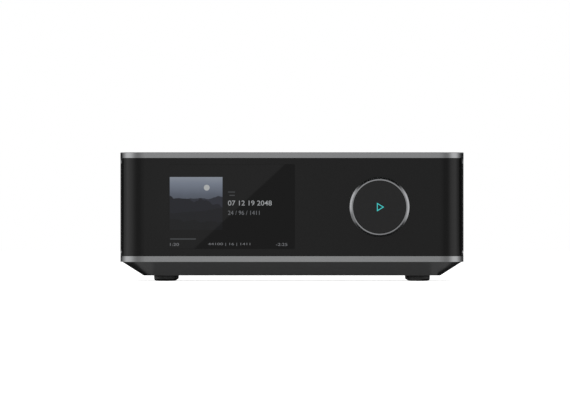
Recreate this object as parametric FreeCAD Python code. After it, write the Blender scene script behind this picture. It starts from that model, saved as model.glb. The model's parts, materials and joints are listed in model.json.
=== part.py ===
import FreeCAD, Part
import math
import os

from FreeCAD import Vector

# Streaming amplifier, millimetres. X to the right, Y to the back, Z up, the front faces -Y.
# The origin is under the middle of the whole object, on the plane that the feet stand on.

# Case
case_width = 200.0
case_depth = 200.0
case_height = 63.8
corner_radius = 14.0
shell_wall = 2.6
band_height = 3.3
edge_round = 0.5
lug_reach = 22.0
lug_thickness = 3.0

# Front opening, glass and the frame behind it
glass_recess = 0.8
glass_thickness = 2.0
glass_gap = 0.15
wrap_length = 4.0
opening_corner = 4.0
frame_thickness = 2.6
frame_tail = 6.0
bond_gap = 0.1

# Base and feet
base_height = 8.0
base_top_inset = 1.1
base_bottom_inset = 13.6
base_bottom_corner = 3.0
base_wall_run = 2.8
base_floor = 2.4
least_corner = 0.5
foot_radius = 7.25
foot_height = 3.3
foot_inset = 26.9
foot_edge_round = 0.9
base_screw_inset = 18.0
vent_width = 3.0
vent_length = 26.0
vent_pitch = 7.0
vent_row_offset = 34.0
vent_side_gap = 8.5

# Volume ring and play button
knob_share = 0.2548
knob_reach = 6.7
ring_base_radius = 17.4
ring_front_radius = 16.25
ring_chamfer_width = 0.85
ring_chamfer_depth = 0.15
ring_skirt_depth = 1.3
ring_skirt_edge = 0.3
ring_glass_gap = 0.4
ring_rim_width = 3.6
ring_web = 2.2
bearing_setback = 0.3
ring_lip = 0.05
sleeve_wall = 2.0
button_gap = 0.2
button_recess = 0.15
button_thickness = 1.5
button_travel = 0.8
button_spare = 0.25
stem_radius = 6.0
stem_bore = 2.6
running_gap = 0.06
bearing_wall = 2.9
sleeve_hole_gap = 0.6
wheel_gap = 0.4
wheel_thickness = 1.2
wheel_reach = 3.5
wheel_slots = 24
wheel_slot_width = 0.9
wheel_slot_depth = 1.2
flange_half = 20.0
flange_thickness = 1.6
flange_post_inset = 3.5
flange_post_radius = 2.5
flange_post_height = 6.0
clip_reach = 1.6
clip_thickness = 0.8
clip_gap = 0.1
stem_past_clip = 1.5
plunger_radius = 1.5
plunger_length = 1.8
switch_half = 3.1
switch_gap = 0.3
sensor_half = 3.0
sensor_depth = 4.0
sensor_gap = 0.7

# Lit triangle in the button
sign_width = 4.2
sign_height = 5.1
sign_line = 0.5
sign_depth = 0.6

# Display
display_share = -0.176
display_width = 73.4
display_height = 49.0
display_border = 1.5
display_fit = 0.2
bracket_margin = 4.6
bracket_thickness = 1.2

# Small screws of the front parts
small_head_radius = 1.9
small_head_height = 1.3
small_shank_radius = 1.0
small_thread_depth = 2.0
screw_play = 0.12
screw_end_gap = 0.2
socket_share = 0.45
socket_depth_share = 0.6

# Screws of the case
case_head_radius = 2.7
case_head_height = 1.6
case_shank_radius = 1.5
case_thread_depth = 2.6
screw_tube_wall = 1.4

# Rear panel and what is in it
panel_side_margin = 20.0
panel_edge_margin = 7.0
panel_fit = 0.2
panel_recess = 0.4
panel_inner_step = 1.6
panel_flange = 6.5
rear_screw_offset = 3.3
rear_screw_edge = 8.0
socket_fit = 0.25
row_edge = 8.0
row_height = 52.0
post_row_height = 30.0

# Speaker posts
post_edge = 10.0
post_pitch = 19.0
channel_pitch = 42.0
post_collar_radius = 8.2
post_collar_length = 3.0
post_neck_radius = 4.4
post_nut_radius = 5.9
post_nut_thickness = 2.4
post_stem_radius = 3.0
post_stem_inside = 12.0
post_bore_radius = 2.05
post_bore_depth = 12.0
washer_radius = 6.2
washer_thickness = 1.2
post_gap = 0.1
cap_radius = 7.5
cap_length = 13.0
cap_end = 1.5
cap_hole_radius = 2.6
cap_end_gap = 0.4
cap_chamfer = 0.7
cap_flutes = 18
cap_flute_radius = 0.55
tab_width = 5.0
tab_thickness = 0.8

# Sockets
phono_radius = 4.2
phono_neck_radius = 4.8
phono_reach = 9.0
phono_bore_radius = 1.7
phono_bore_depth = 9.0
phono_body_half = 6.0
phono_body_depth = 12.0
collar_radius = 6.4
collar_length = 1.4
trigger_radius = 3.0
trigger_nut_radius = 4.0
trigger_nut_length = 1.6
trigger_bore_radius = 1.8
trigger_bore_depth = 14.0
trigger_depth = 15.0
optical_width = 9.8
optical_height = 10.6
optical_depth = 17.0
optical_bore = 6.2
optical_bore_depth = 13.0
shutter_gap = 0.2
shutter_thickness = 0.8
shutter_setback = 0.5
shutter_pin_radius = 0.45
hdmi_width = 15.4
hdmi_height = 6.4
hdmi_depth = 12.0
usb_width = 14.4
usb_height = 7.2
usb_depth = 14.0
network_width = 16.0
network_height = 13.8
network_depth = 21.0
network_bore_width = 11.8
network_bore_height = 8.2
network_bore_depth = 13.0
socket_wall = 0.8
tongue_thickness = 1.4
tongue_side_gap = 1.2
inlet_edge = 18.0
inlet_width = 26.0
inlet_height = 15.0
inlet_lip = 1.4
inlet_body_inset = 1.8
inlet_depth = 17.0
inlet_lobe_radius = 3.4
inlet_lobe_spacing = 6.9
inlet_waist = 5.2
inlet_bore_depth = 12.5
pin_spacing = 8.6
pin_radius = 1.2
pin_length = 9.0
setup_radius = 2.6
setup_reach = 0.6
setup_travel = 0.5
setup_shoulder = 0.9
setup_shoulder_thickness = 1.0
setup_stem_length = 4.0
setup_play = 0.08

# Boards inside
board_thickness = 1.6
board_side_gap = 4.0
board_rear_gap = 0.5
board_clear = 0.9
main_board_level = 42.0
main_board_depth = 72.0
lower_board_level = 17.0
amp_board_right = 12.0
amp_board_depth = 112.0
amp_board_rear = 15.0
supply_board_left = 20.0
supply_board_front = 30.0
supply_board_rear = 50.0
pillar_radius = 2.8
pillar_bore_radius = 1.25
pillar_inset_x = 5.0
pillar_inset_y = 18.0
main_pillar_side = 4.0
main_pillar_rear = 44.0
main_pillar_front = 14.0
board_head_radius = 2.5
board_head_height = 1.5
board_shank_radius = 1.2
board_thread_depth = 5.0
sheet_thickness = 0.4

# Parts on the boards
coil_side_gap = 7.8
coil_gap = 1.0
coil_hole_share = 0.4
coil_foot = 1.6
coil_height = 11.0
coil_count = 4
coil_can_gap = 8.4
heatsink_screw_gap = 1.3
heatsink_depth = 34.0
heatsink_height = 20.0
heatsink_base = 4.0
heatsink_fin = 1.6
heatsink_fins = 12
heatsink_front = 13.5
amp_can_radius = 5.0
amp_can_height = 16.0
amp_can_pitch = 13.0
amp_can_sink_gap = 3.5
amp_can_count = 4
transformer_width = 30.0
transformer_depth = 34.0
transformer_height = 22.0
transformer_core = 12.0
transformer_core_edge = 3.0
transformer_core_rise = 1.0
transformer_front = 50.0
bulk_can_height = 22.0
bulk_can_gap = 3.0
bulk_side_gap = 4.8
bulk_can_front = 13.3
radio_width = 24.0
radio_depth = 18.0
radio_height = 3.0
radio_left = 8.0
radio_front = 6.0
spreader_size = 34.0
spreader_height = 9.0
spreader_base = 2.0
spreader_fin = 1.2
spreader_fins = 9
spreader_left = -48.0
spreader_front = 8.0
harness_radius = 0.9
harness_wires = 4
harness_pitch = 3.2
harness_rise = 11.0
harness_inset = 4.0
harness_bend = 4.0
harness_front = 42.0
antenna_width = 8.0
antenna_height = 28.0
antenna_thickness = 0.8
antenna_lead_radius = 0.6
antenna_lead_bend = 4.0
antenna_side = 24.0
lead_height = 60.0
ribbon_thickness = 0.4
ribbon_level = 47.0
ribbon_drop_inset = 4.0
display_ribbon_width = 20.0
knob_ribbon_width = 9.0

# Levels above the table
base_bottom = foot_height
floor_top = base_bottom + base_floor
case_bottom = base_bottom + base_height
case_top = case_bottom + case_height
mid_height = (case_bottom + case_top) / 2
lug_top = case_bottom + lug_thickness
band_low = case_bottom + band_height
band_high = case_top - band_height

# Depths, from the front of the case
washer_start = post_collar_length - panel_recess + post_gap
cap_start = washer_start + washer_thickness + post_gap
post_reach = cap_start + cap_length
front_y = knob_reach - (knob_reach + case_depth + post_reach) / 2
rear_y = front_y + case_depth
opening_back = front_y + corner_radius + wrap_length
glass_front = front_y + glass_recess
glass_back = glass_front + glass_thickness
frame_front = glass_back + bond_gap
frame_back = frame_front + frame_thickness
panel_outer = rear_y - panel_recess
panel_inner = rear_y - shell_wall - panel_inner_step

# Widths
half_width = case_width / 2
knob_offset = case_width * knob_share
display_offset = case_width * display_share
panel_half = half_width - panel_side_margin
panel_low = case_bottom + panel_edge_margin
panel_high = case_top - panel_edge_margin
board_side = half_width - base_bottom_inset - base_wall_run - board_side_gap
row_pitch = (panel_half - row_edge) / 4
main_top = main_board_level + board_thickness
lower_top = lower_board_level + board_thickness
main_front = panel_inner - board_rear_gap - main_board_depth
amp_rear = panel_inner - amp_board_rear
amp_front = amp_rear - amp_board_depth
supply_front = front_y + supply_board_front
supply_rear = panel_inner - supply_board_rear

# What the lower boards leave between their screws
amp_board_width = board_side + amp_board_right
heatsink_width = amp_board_width - 2 * (pillar_inset_x + board_head_radius + heatsink_screw_gap)
coil_pitch = (amp_board_width - 2 * coil_side_gap) / coil_count
coil_radius = (coil_pitch - coil_gap) / 2
coil_hole_radius = coil_radius * coil_hole_share
heatsink_start = amp_front + heatsink_front
amp_can_row = heatsink_start + heatsink_depth + amp_can_sink_gap + amp_can_radius
supply_free_width = board_side - supply_board_left - 2 * (pillar_inset_x + board_head_radius)
bulk_can_radius = (supply_free_width - 2 * bulk_side_gap - bulk_can_gap) / 4
bulk_can_pitch = 2 * bulk_can_radius + bulk_can_gap

small_hole = small_shank_radius + screw_play
case_hole = case_shank_radius + screw_play
board_hole = board_shank_radius + screw_play
far = 2 * max(case_width, case_depth, case_height)
overshoot = 1.0


def block(x0, x1, y0, y1, z0, z1):
    return Part.makeBox(x1 - x0, y1 - y0, z1 - z0, Vector(x0, y0, z0))


def centred_block(x, z, width, height, y0, y1):
    return block(x - width / 2, x + width / 2, y0, y1, z - height / 2, z + height / 2)


def rod_y(radius, x, z, y0, y1):
    return Part.makeCylinder(radius, y1 - y0, Vector(x, y0, z), Vector(0, 1, 0))


def rod_z(radius, x, y, z0, z1):
    return Part.makeCylinder(radius, z1 - z0, Vector(x, y, z0), Vector(0, 0, 1))


def turned_y(x, z, profile):
    # profile holds (radius, y) pairs of a closed outline turned about a line along Y
    points = [Vector(x + radius, y, z) for radius, y in profile]
    face = Part.Face(Part.makePolygon(points + points[:1]))
    return face.revolve(Vector(x, 0, z), Vector(0, 1, 0), 360)


def fused(solids):
    whole = solids[0]
    if len(solids) > 1:
        whole = whole.multiFuse(solids[1:]).removeSplitter()
    return whole


def corners(x_far, y_near, y_far):
    return [(x, y) for x in (-x_far, x_far) for y in (y_near, y_far)]


def rounded_loop(points, radii):
    # a closed loop through the points, each corner rounded by its own radius
    marks = []
    for step, corner in enumerate(points):
        back = (points[step - 1] - corner).normalize()
        ahead = (points[(step + 1) % len(points)] - corner).normalize()
        half_turn = back.getAngle(ahead) / 2
        reach = radii[step] / math.tan(half_turn)
        depth = radii[step] / math.sin(half_turn) - radii[step]
        through = corner + (back + ahead).normalize() * depth
        marks.append((corner + back * reach, through, corner + ahead * reach))
    edges = []
    for step, (first, through, last) in enumerate(marks):
        if radii[step] > 0:
            edges.append(Part.Arc(first, through, last).toShape())
        edges.append(Part.makeLine(last, marks[(step + 1) % len(marks)][0]))
    return Part.Wire(edges)


def outline(inset, radius, z):
    # the case's plan outline, drawn in by inset
    x = half_width - inset
    y0 = front_y + inset
    y1 = rear_y - inset
    points = [Vector(-x, y0, z), Vector(x, y0, z), Vector(x, y1, z), Vector(-x, y1, z)]
    return rounded_loop(points, [radius] * len(points))


def rounded_prism(inset, z0, z1):
    face = Part.Face(outline(inset, corner_radius - inset, z0))
    return face.extrude(Vector(0, 0, z1 - z0))


def tray_inset(z):
    share = (z - base_bottom) / base_height
    return base_bottom_inset + share * (base_top_inset - base_bottom_inset)


def tray_corner(z):
    share = (z - base_bottom) / base_height
    return base_bottom_corner + share * (corner_radius - base_top_inset - base_bottom_corner)


def tray_form(z0, z1, wall):
    wires = []
    for z in (z0, z1):
        corner = max(tray_corner(z) - wall, least_corner)
        wires.append(outline(tray_inset(z) + wall, corner, z))
    return Part.makeLoft(wires, True, True)


def opening_cutter(margin, back):
    # the front opening seen from the side, drawn in by margin, with rounded rear corners
    low = band_low + margin
    high = band_high - margin
    start = front_y - far
    corner_points = [(start, low), (back, low), (back, high), (start, high)]
    points = [Vector(-far, y, z) for y, z in corner_points]
    loop = rounded_loop(points, [0, opening_corner, opening_corner, 0])
    return Part.Face(loop).extrude(Vector(2 * far, 0, 0))


def wrap_panel(outer_inset, thickness, back):
    # a sheet that follows the case's front and its two front corners
    low = band_low + glass_gap
    high = band_high - glass_gap
    sheet = rounded_prism(outer_inset, low, high)
    sheet = sheet.cut(rounded_prism(outer_inset + thickness, low - overshoot, high + overshoot))
    return sheet.common(opening_cutter(glass_gap, back))


def screw(place, direction, head_radius, head_height, shank_radius, shank_length):
    # place is where the head's underside meets its seat, and direction points along the shank
    way = Vector(*direction)
    seat = Vector(*place)
    head = Part.makeCylinder(head_radius, head_height, seat - way * head_height, way)
    shank = Part.makeCylinder(shank_radius, shank_length, seat, way)
    top = seat - way * head_height
    socket = Part.makeCylinder(head_radius * socket_share, head_height * socket_depth_share, top, way)
    return head.fuse(shank).cut(socket)


def hexagon_y(x, z, radius, y0, y1):
    points = []
    for turn in range(7):
        angle = math.radians(60 * turn)
        points.append(Vector(x + radius * math.cos(angle), y0, z + radius * math.sin(angle)))
    return Part.Face(Part.makePolygon(points)).extrude(Vector(0, y1 - y0, 0))


def bent_wire(points, radius, bend):
    # straight runs joined by arcs of one bend radius, swept into a round wire
    edges = []
    start = points[0]
    for before, corner, after in zip(points, points[1:], points[2:]):
        back = (before - corner).normalize()
        ahead = (after - corner).normalize()
        half_turn = back.getAngle(ahead) / 2
        reach = bend / math.tan(half_turn)
        first = corner + back * reach
        last = corner + ahead * reach
        middle_way = (back + ahead).normalize()
        centre = corner + middle_way * (bend / math.sin(half_turn))
        edges.append(Part.makeLine(start, first))
        edges.append(Part.Arc(first, centre - middle_way * bend, last).toShape())
        start = last
    edges.append(Part.makeLine(start, points[-1]))
    path = Part.Wire(edges)
    way = (points[1] - points[0]).normalize()
    ring = Part.Wire([Part.makeCircle(radius, points[0], way)])
    return path.makePipeShell([ring], True, False)


# Case shell

def lugs():
    inner = rounded_prism(shell_wall / 2, case_bottom, lug_top)
    pieces = []
    for x_sign in (-1, 1):
        x0 = x_sign * half_width
        x1 = x_sign * (half_width - lug_reach)
        for y0, y1 in ((front_y, front_y + lug_reach), (rear_y - lug_reach, rear_y)):
            plate = block(min(x0, x1), max(x0, x1), y0, y1, case_bottom, lug_top)
            pieces.append(plate.common(inner))
    return pieces


def base_screw_places():
    return corners(half_width - base_screw_inset, front_y + base_screw_inset, rear_y - base_screw_inset)


def rear_screw_places():
    return corners(panel_half + rear_screw_offset, panel_low + rear_screw_edge, panel_high - rear_screw_edge)


def make_case_shell():
    outer = rounded_prism(0, case_bottom, case_top)
    rims = [edge for edge in outer.Edges if edge.BoundBox.ZMin > mid_height]
    outer = outer.makeFillet(edge_round, rims)
    shell = outer.cut(rounded_prism(shell_wall, case_bottom - overshoot, band_high))
    shell = shell.cut(opening_cutter(0, opening_back))
    rear_hole = block(-panel_half, panel_half, rear_y - shell_wall - overshoot, rear_y + overshoot,
                      panel_low, panel_high)
    shell = shell.cut(rear_hole)
    shell = fused([shell] + lugs())
    for x, y in base_screw_places():
        shell = shell.cut(rod_z(case_hole, x, y, case_bottom - overshoot, lug_top + overshoot))
    for x, z in rear_screw_places():
        shell = shell.cut(rod_y(case_hole, x, z, rear_y - shell_wall - overshoot, rear_y + overshoot))
    return shell


# Front glass and frame

sleeve_inner = stem_radius + running_gap + bearing_wall + running_gap
sleeve_outer = sleeve_inner + sleeve_wall
front_hole_radius = sleeve_outer + sleeve_hole_gap
knob_front = front_y - knob_reach
ring_back = glass_front - ring_glass_gap
button_front = knob_front + button_recess
button_back = button_front + button_thickness
web_front = button_back + button_travel + button_spare
web_back = web_front + ring_web
button_radius = ring_front_radius - ring_chamfer_width - button_gap
wheel_front = frame_back + wheel_gap
wheel_back = wheel_front + wheel_thickness
sleeve_back = wheel_back + wheel_gap
flange_front = sleeve_back + wheel_gap
flange_back = flange_front + flange_thickness
knob_board_front = flange_back + flange_post_height
knob_board_back = knob_board_front + board_thickness
clip_front = flange_back + clip_gap
stem_end = clip_front + clip_thickness + stem_past_clip


def knob_post_places():
    reach = flange_half - flange_post_inset
    return [(knob_offset + sx * reach, mid_height + sz * reach) for sx in (-1, 1) for sz in (-1, 1)]


def make_front_fascia():
    glass = wrap_panel(glass_recess, glass_thickness, opening_back - glass_gap)
    hole = rod_y(front_hole_radius, knob_offset, mid_height, glass_front - overshoot, glass_back + overshoot)
    return glass.cut(hole)


window_half_width = display_width / 2 + display_border + display_fit
window_half_height = display_height / 2 + display_border + display_fit


def display_screw_places():
    x = window_half_width + bracket_margin / 2
    z = window_half_height - bracket_margin
    return [(display_offset + sx * x, mid_height + sz * z) for sx in (-1, 1) for sz in (-1, 1)]


def make_front_frame():
    frame = wrap_panel(glass_recess + glass_thickness + bond_gap, frame_thickness, opening_back + frame_tail)
    window = centred_block(display_offset, mid_height, 2 * window_half_width, 2 * window_half_height,
                           frame_front - overshoot, frame_back + overshoot)
    frame = frame.cut(window)
    hole = rod_y(front_hole_radius, knob_offset, mid_height, frame_front - overshoot, frame_back + overshoot)
    frame = frame.cut(hole)
    root = frame_back - bond_gap
    bosses = [rod_y(flange_post_radius, x, z, root, flange_front) for x, z in knob_post_places()]
    frame = fused([frame] + bosses)
    for x, z in knob_post_places():
        deep = frame_back - small_thread_depth / 2
        frame = frame.cut(rod_y(small_hole, x, z, deep, flange_front + overshoot))
    for x, z in display_screw_places():
        deep = frame_back - small_thread_depth
        frame = frame.cut(rod_y(small_hole, x, z, deep, frame_back + overshoot))
    return frame


# Base and feet

def foot_places():
    return corners(half_width - foot_inset, front_y + foot_inset, rear_y - foot_inset)


def lower_pillar_places():
    places = []
    for x0, x1, y0, y1 in (
        (-board_side, amp_board_right, amp_front, amp_rear),
        (supply_board_left, board_side, supply_front, supply_rear),
    ):
        for x in (x0 + pillar_inset_x, x1 - pillar_inset_x):
            for y in (y0 + pillar_inset_y, y1 - pillar_inset_y):
                places.append((x, y))
    return places


def main_pillar_places():
    y0 = main_front + main_pillar_front
    return corners(board_side - main_pillar_side, y0, panel_inner - main_pillar_rear)


def make_base_tray():
    tray = tray_form(base_bottom, case_bottom, 0)
    tray = tray.cut(tray_form(floor_top, case_bottom, base_wall_run))
    under = base_bottom - overshoot
    tube_radius = case_head_radius + screw_tube_wall
    root = base_bottom + base_floor / 2
    tubes = [rod_z(tube_radius, x, y, root, case_bottom) for x, y in base_screw_places()]
    tray = fused([tray] + tubes)
    holes = []
    for x, y in base_screw_places():
        holes.append(rod_z(case_hole, x, y, under, case_bottom + overshoot))
        holes.append(rod_z(case_head_radius + screw_play, x, y, under, base_bottom + case_head_height))
    for x, y in lower_pillar_places() + main_pillar_places():
        holes.append(rod_z(board_hole, x, y, under, floor_top + overshoot))
        holes.append(rod_z(board_head_radius + screw_play, x, y, under, base_bottom + board_head_height))
    half = vent_width / 2
    reach = vent_length / 2 - half
    for x, y in vent_places():
        vent = [block(x - half, x + half, y - reach, y + reach, under, floor_top + overshoot)]
        for end in (-reach, reach):
            vent.append(rod_z(half, x, y + end, under, floor_top + overshoot))
        holes.append(fused(vent))
    return tray.cut(holes)


def vent_places():
    # two rows of slots, clear of the pillars' screws and of the feet
    reach = half_width - foot_inset - foot_radius - vent_side_gap
    count = int(2 * reach / vent_pitch)
    taken = lower_pillar_places() + main_pillar_places()
    clear_x = board_head_radius + vent_width
    clear_y = clear_x + vent_length / 2
    middle = (front_y + rear_y) / 2
    places = []
    for y in (middle - vent_row_offset, middle + vent_row_offset):
        for step in range(count + 1):
            x = (step - count / 2) * vent_pitch
            near = [p for p in taken if abs(p[0] - x) < clear_x and abs(p[1] - y) < clear_y]
            if not near:
                places.append((x, y))
    return places


def make_foot_pads():
    pads = []
    for x, y in foot_places():
        pad = rod_z(foot_radius, x, y, 0, foot_height)
        rim = [edge for edge in pad.Edges if edge.BoundBox.ZMax < foot_height / 2]
        pads.append(pad.makeFillet(foot_edge_round, rim))
    return Part.makeCompound(pads)


# Volume ring, button and their bearing

def make_volume_ring():
    chamfer_back = knob_front + ring_chamfer_depth
    bore = button_radius + button_gap
    rim_inner = ring_base_radius - ring_rim_width
    profile = [
        (sleeve_inner, web_front),
        (bore, web_front),
        (bore, knob_front),
        (bore + ring_lip, knob_front),
        (ring_front_radius, chamfer_back),
        (ring_front_radius, ring_back - ring_skirt_depth),
        (ring_base_radius, ring_back - ring_skirt_edge),
        (ring_base_radius, ring_back),
        (rim_inner, ring_back),
        (rim_inner, web_back),
        (sleeve_outer, web_back),
        (sleeve_outer, sleeve_back),
        (sleeve_inner, sleeve_back),
    ]
    return turned_y(knob_offset, mid_height, profile)


def make_encoder_wheel():
    outer = sleeve_outer + wheel_reach
    wheel = rod_y(outer, knob_offset, mid_height, wheel_front, wheel_back)
    slots = [rod_y(sleeve_outer, knob_offset, mid_height, wheel_front - overshoot, wheel_back + overshoot)]
    for step in range(wheel_slots):
        slot = centred_block(knob_offset + outer, mid_height, 2 * wheel_slot_depth, wheel_slot_width,
                             wheel_front - overshoot, wheel_back + overshoot)
        slot.rotate(Vector(knob_offset, 0, mid_height), Vector(0, 1, 0), 360 * step / wheel_slots)
        slots.append(slot)
    return wheel.cut(slots)


def triangle(x, z, width, height, y0, y1):
    # a triangle that points to +X, centred on x and z
    points = [
        Vector(x - width / 2, y0, z - height / 2),
        Vector(x + width / 2, y0, z),
        Vector(x - width / 2, y0, z + height / 2),
    ]
    return Part.Face(Part.makePolygon(points + points[:1])).extrude(Vector(0, y1 - y0, 0))


def make_play_sign():
    x = knob_offset + sign_width / 8
    outer = triangle(x, mid_height, sign_width, sign_height, button_front, button_front + sign_depth)
    slant = math.hypot(sign_width, sign_height / 2)
    inradius = sign_width * sign_height / 2 * 2 / (sign_height + 2 * slant)
    share = 1 - sign_line / inradius
    # the inner outline keeps the same line width all round, so it shrinks about the incentre
    incentre = x - sign_width / 2 + inradius
    inner_x = incentre + (x - incentre) * share
    inner = triangle(inner_x, mid_height, sign_width * share, sign_height * share,
                     button_front - overshoot, button_front + sign_depth + overshoot)
    return outer.cut(inner)


def make_play_button():
    profile = [
        (0, button_front),
        (button_radius, button_front),
        (button_radius, button_back),
        (stem_radius, button_back),
        (stem_radius, stem_end),
        (stem_bore, stem_end),
        (stem_bore, button_back),
        (0, button_back),
    ]
    return turned_y(knob_offset, mid_height, profile).cut(make_play_sign())


def make_button_clip():
    clip = rod_y(stem_radius + clip_reach, knob_offset, mid_height, clip_front, clip_front + clip_thickness)
    y0 = clip_front - overshoot
    y1 = clip_front + clip_thickness + overshoot
    hole = rod_y(stem_radius, knob_offset, mid_height, y0, y1)
    gap = centred_block(knob_offset, mid_height - stem_radius, stem_radius, 2 * stem_radius, y0, y1)
    return clip.cut([hole, gap])


def make_switch_plunger():
    collar_back = stem_end + plunger_length / 3
    collar = rod_y(stem_bore + plunger_radius / 2, knob_offset, mid_height, stem_end, collar_back)
    tip = rod_y(plunger_radius, knob_offset, mid_height, stem_end, stem_end + plunger_length)
    return fused([collar, tip])


def make_knob_bearing():
    inner = stem_radius + running_gap
    outer = inner + bearing_wall
    tube = rod_y(outer, knob_offset, mid_height, web_front + bearing_setback, flange_back)
    side = 2 * flange_half
    plate = centred_block(knob_offset, mid_height, side, side, flange_front, flange_back)
    places = knob_post_places()
    posts = [rod_y(flange_post_radius, x, z, flange_back, knob_board_front) for x, z in places]
    start = flange_front - overshoot
    holes = [rod_y(small_hole, x, z, start, knob_board_front + overshoot) for x, z in places]
    holes.append(rod_y(inner, knob_offset, mid_height, web_front, flange_back + overshoot))
    notch_left = sensor_left() - sensor_gap / 2
    notch_half = sensor_half + sensor_gap / 2
    holes.append(block(notch_left, knob_offset + far, start, flange_back + overshoot,
                       mid_height - notch_half, mid_height + notch_half))
    return fused([tube, plate] + posts).cut(holes)


def sensor_left():
    return knob_offset + sleeve_outer + wheel_reach + sensor_gap


def make_encoder_sensor():
    left = sensor_left()
    return block(left, left + sensor_depth, wheel_front, knob_board_front,
                 mid_height - sensor_half, mid_height + sensor_half)


def make_push_switch():
    front = stem_end + plunger_length / 3 + button_travel + switch_gap
    body = centred_block(knob_offset, mid_height, 2 * switch_half, 2 * switch_half, front, knob_board_front)
    bore_end = stem_end + plunger_length + button_travel + switch_gap
    bore = rod_y(plunger_radius + switch_gap / 2, knob_offset, mid_height, front - overshoot, bore_end)
    return body.cut(bore)


def make_knob_board():
    board = centred_block(knob_offset, mid_height, 2 * flange_half, 2 * flange_half,
                          knob_board_front, knob_board_back)
    y0 = knob_board_front - overshoot
    y1 = knob_board_back + overshoot
    return board.cut([rod_y(small_hole, x, z, y0, y1) for x, z in knob_post_places()])


# Display

def make_display_panel():
    return centred_block(display_offset, mid_height, display_width + 2 * display_border,
                         display_height + 2 * display_border, frame_front, frame_back)


def make_display_bracket():
    plate = centred_block(display_offset, mid_height, 2 * (window_half_width + bracket_margin),
                          2 * window_half_height, frame_back, frame_back + bracket_thickness)
    y0 = frame_back - overshoot
    y1 = frame_back + bracket_thickness + overshoot
    return plate.cut([rod_y(small_hole, x, z, y0, y1) for x, z in display_screw_places()])


def make_front_screws():
    pieces = []
    seat = frame_back + bracket_thickness
    length = bracket_thickness + small_thread_depth - screw_end_gap
    for x, z in display_screw_places():
        pieces.append(screw((x, seat, z), (0, -1, 0), small_head_radius, small_head_height,
                            small_shank_radius, length))
    length = knob_board_back - frame_back + small_thread_depth / 2 - screw_end_gap
    for x, z in knob_post_places():
        pieces.append(screw((x, knob_board_back, z), (0, -1, 0), small_head_radius, small_head_height,
                            small_shank_radius, length))
    return Part.makeCompound(pieces)


# Rear panel

def row_place(step):
    # step runs from 0 at the left of the row to 8 at its right
    return (step - 4) * row_pitch


phono_steps = (0, 1, 2)
trigger_x = row_place(3)
optical_x = row_place(4)
hdmi_x = row_place(5)
usb_x = row_place(6)
network_x = row_place(7)
setup_x = row_place(8)
inlet_x = panel_half - inlet_edge
hdmi_z = main_top + hdmi_height / 2
usb_z = main_top + usb_height / 2
network_z = main_top + network_height / 2
optical_z = main_top + optical_height / 2


def post_places():
    left = -panel_half + post_edge
    return [left, left + post_pitch, left + channel_pitch, left + channel_pitch + post_pitch]


def panel_holes():
    y0 = panel_inner - overshoot
    y1 = panel_outer + overshoot
    holes = [rod_y(post_neck_radius + socket_fit / 2, x, post_row_height, y0, y1) for x in post_places()]
    for step in phono_steps:
        holes.append(rod_y(phono_neck_radius + socket_fit, row_place(step), row_height, y0, y1))
    holes.append(rod_y(trigger_radius + socket_fit, trigger_x, row_height, y0, y1))
    for x, z, width, height in (
        (optical_x, optical_z, optical_width, optical_height),
        (hdmi_x, hdmi_z, hdmi_width, hdmi_height),
        (usb_x, usb_z, usb_width, usb_height),
        (network_x, network_z, network_width, network_height),
        (inlet_x, post_row_height, inlet_width - 2 * inlet_body_inset, inlet_height - 2 * inlet_body_inset),
    ):
        holes.append(centred_block(x, z, width + 2 * socket_fit, height + 2 * socket_fit, y0, y1))
    holes.append(rod_y(setup_radius + setup_play, setup_x, row_height, y0, y1))
    return holes


def make_rear_panel():
    plate = block(-panel_half + panel_fit, panel_half - panel_fit, panel_inner, panel_outer,
                  panel_low + panel_fit, panel_high - panel_fit)
    flange = block(-panel_half - panel_flange, panel_half + panel_flange, panel_inner,
                   rear_y - shell_wall - bond_gap, panel_low + panel_fit, panel_high - panel_fit)
    panel = fused([plate, flange]).cut(panel_holes())
    for x, z in rear_screw_places():
        panel = panel.cut(rod_y(case_hole, x, z, panel_inner - overshoot, rear_y))
    return panel


def make_case_screws():
    pieces = []
    length = base_height - case_head_height + case_thread_depth
    for x, y in base_screw_places():
        seat = base_bottom + case_head_height
        pieces.append(screw((x, y, seat), (0, 0, 1), case_head_radius, case_head_height,
                            case_shank_radius, length))
    length = shell_wall + panel_inner_step
    for x, z in rear_screw_places():
        pieces.append(screw((x, rear_y, z), (0, -1, 0), case_head_radius, case_head_height,
                            case_shank_radius, length))
    return Part.makeCompound(pieces)


# Speaker posts

def make_post_bases():
    pieces = []
    for x in post_places():
        collar = rod_y(post_collar_radius, x, post_row_height, panel_outer, panel_outer + post_collar_length)
        neck = rod_y(post_neck_radius, x, post_row_height, panel_inner, panel_outer)
        hole = rod_y(post_stem_radius, x, post_row_height, panel_inner - overshoot,
                     panel_outer + post_collar_length + overshoot)
        pieces.append(fused([collar, neck]).cut(hole))
    return Part.makeCompound(pieces)


stem_tip = rear_y + post_reach - cap_end - cap_end_gap


def make_post_stems():
    pieces = []
    for x in post_places():
        stem = rod_y(post_stem_radius, x, post_row_height, panel_inner - post_stem_inside, stem_tip)
        bore = rod_y(post_bore_radius, x, post_row_height, stem_tip - post_bore_depth, stem_tip + overshoot)
        nut = hexagon_y(x, post_row_height, post_nut_radius, panel_inner - post_nut_thickness, panel_inner)
        pieces.append(fused([stem.cut(bore), nut]))
    return Part.makeCompound(pieces)


def make_post_washer(x):
    start = rear_y + washer_start
    end = start + washer_thickness
    washer = rod_y(washer_radius, x, post_row_height, start, end)
    hole = rod_y(post_stem_radius + running_gap, x, post_row_height, start - overshoot, end + overshoot)
    return washer.cut(hole)


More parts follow.
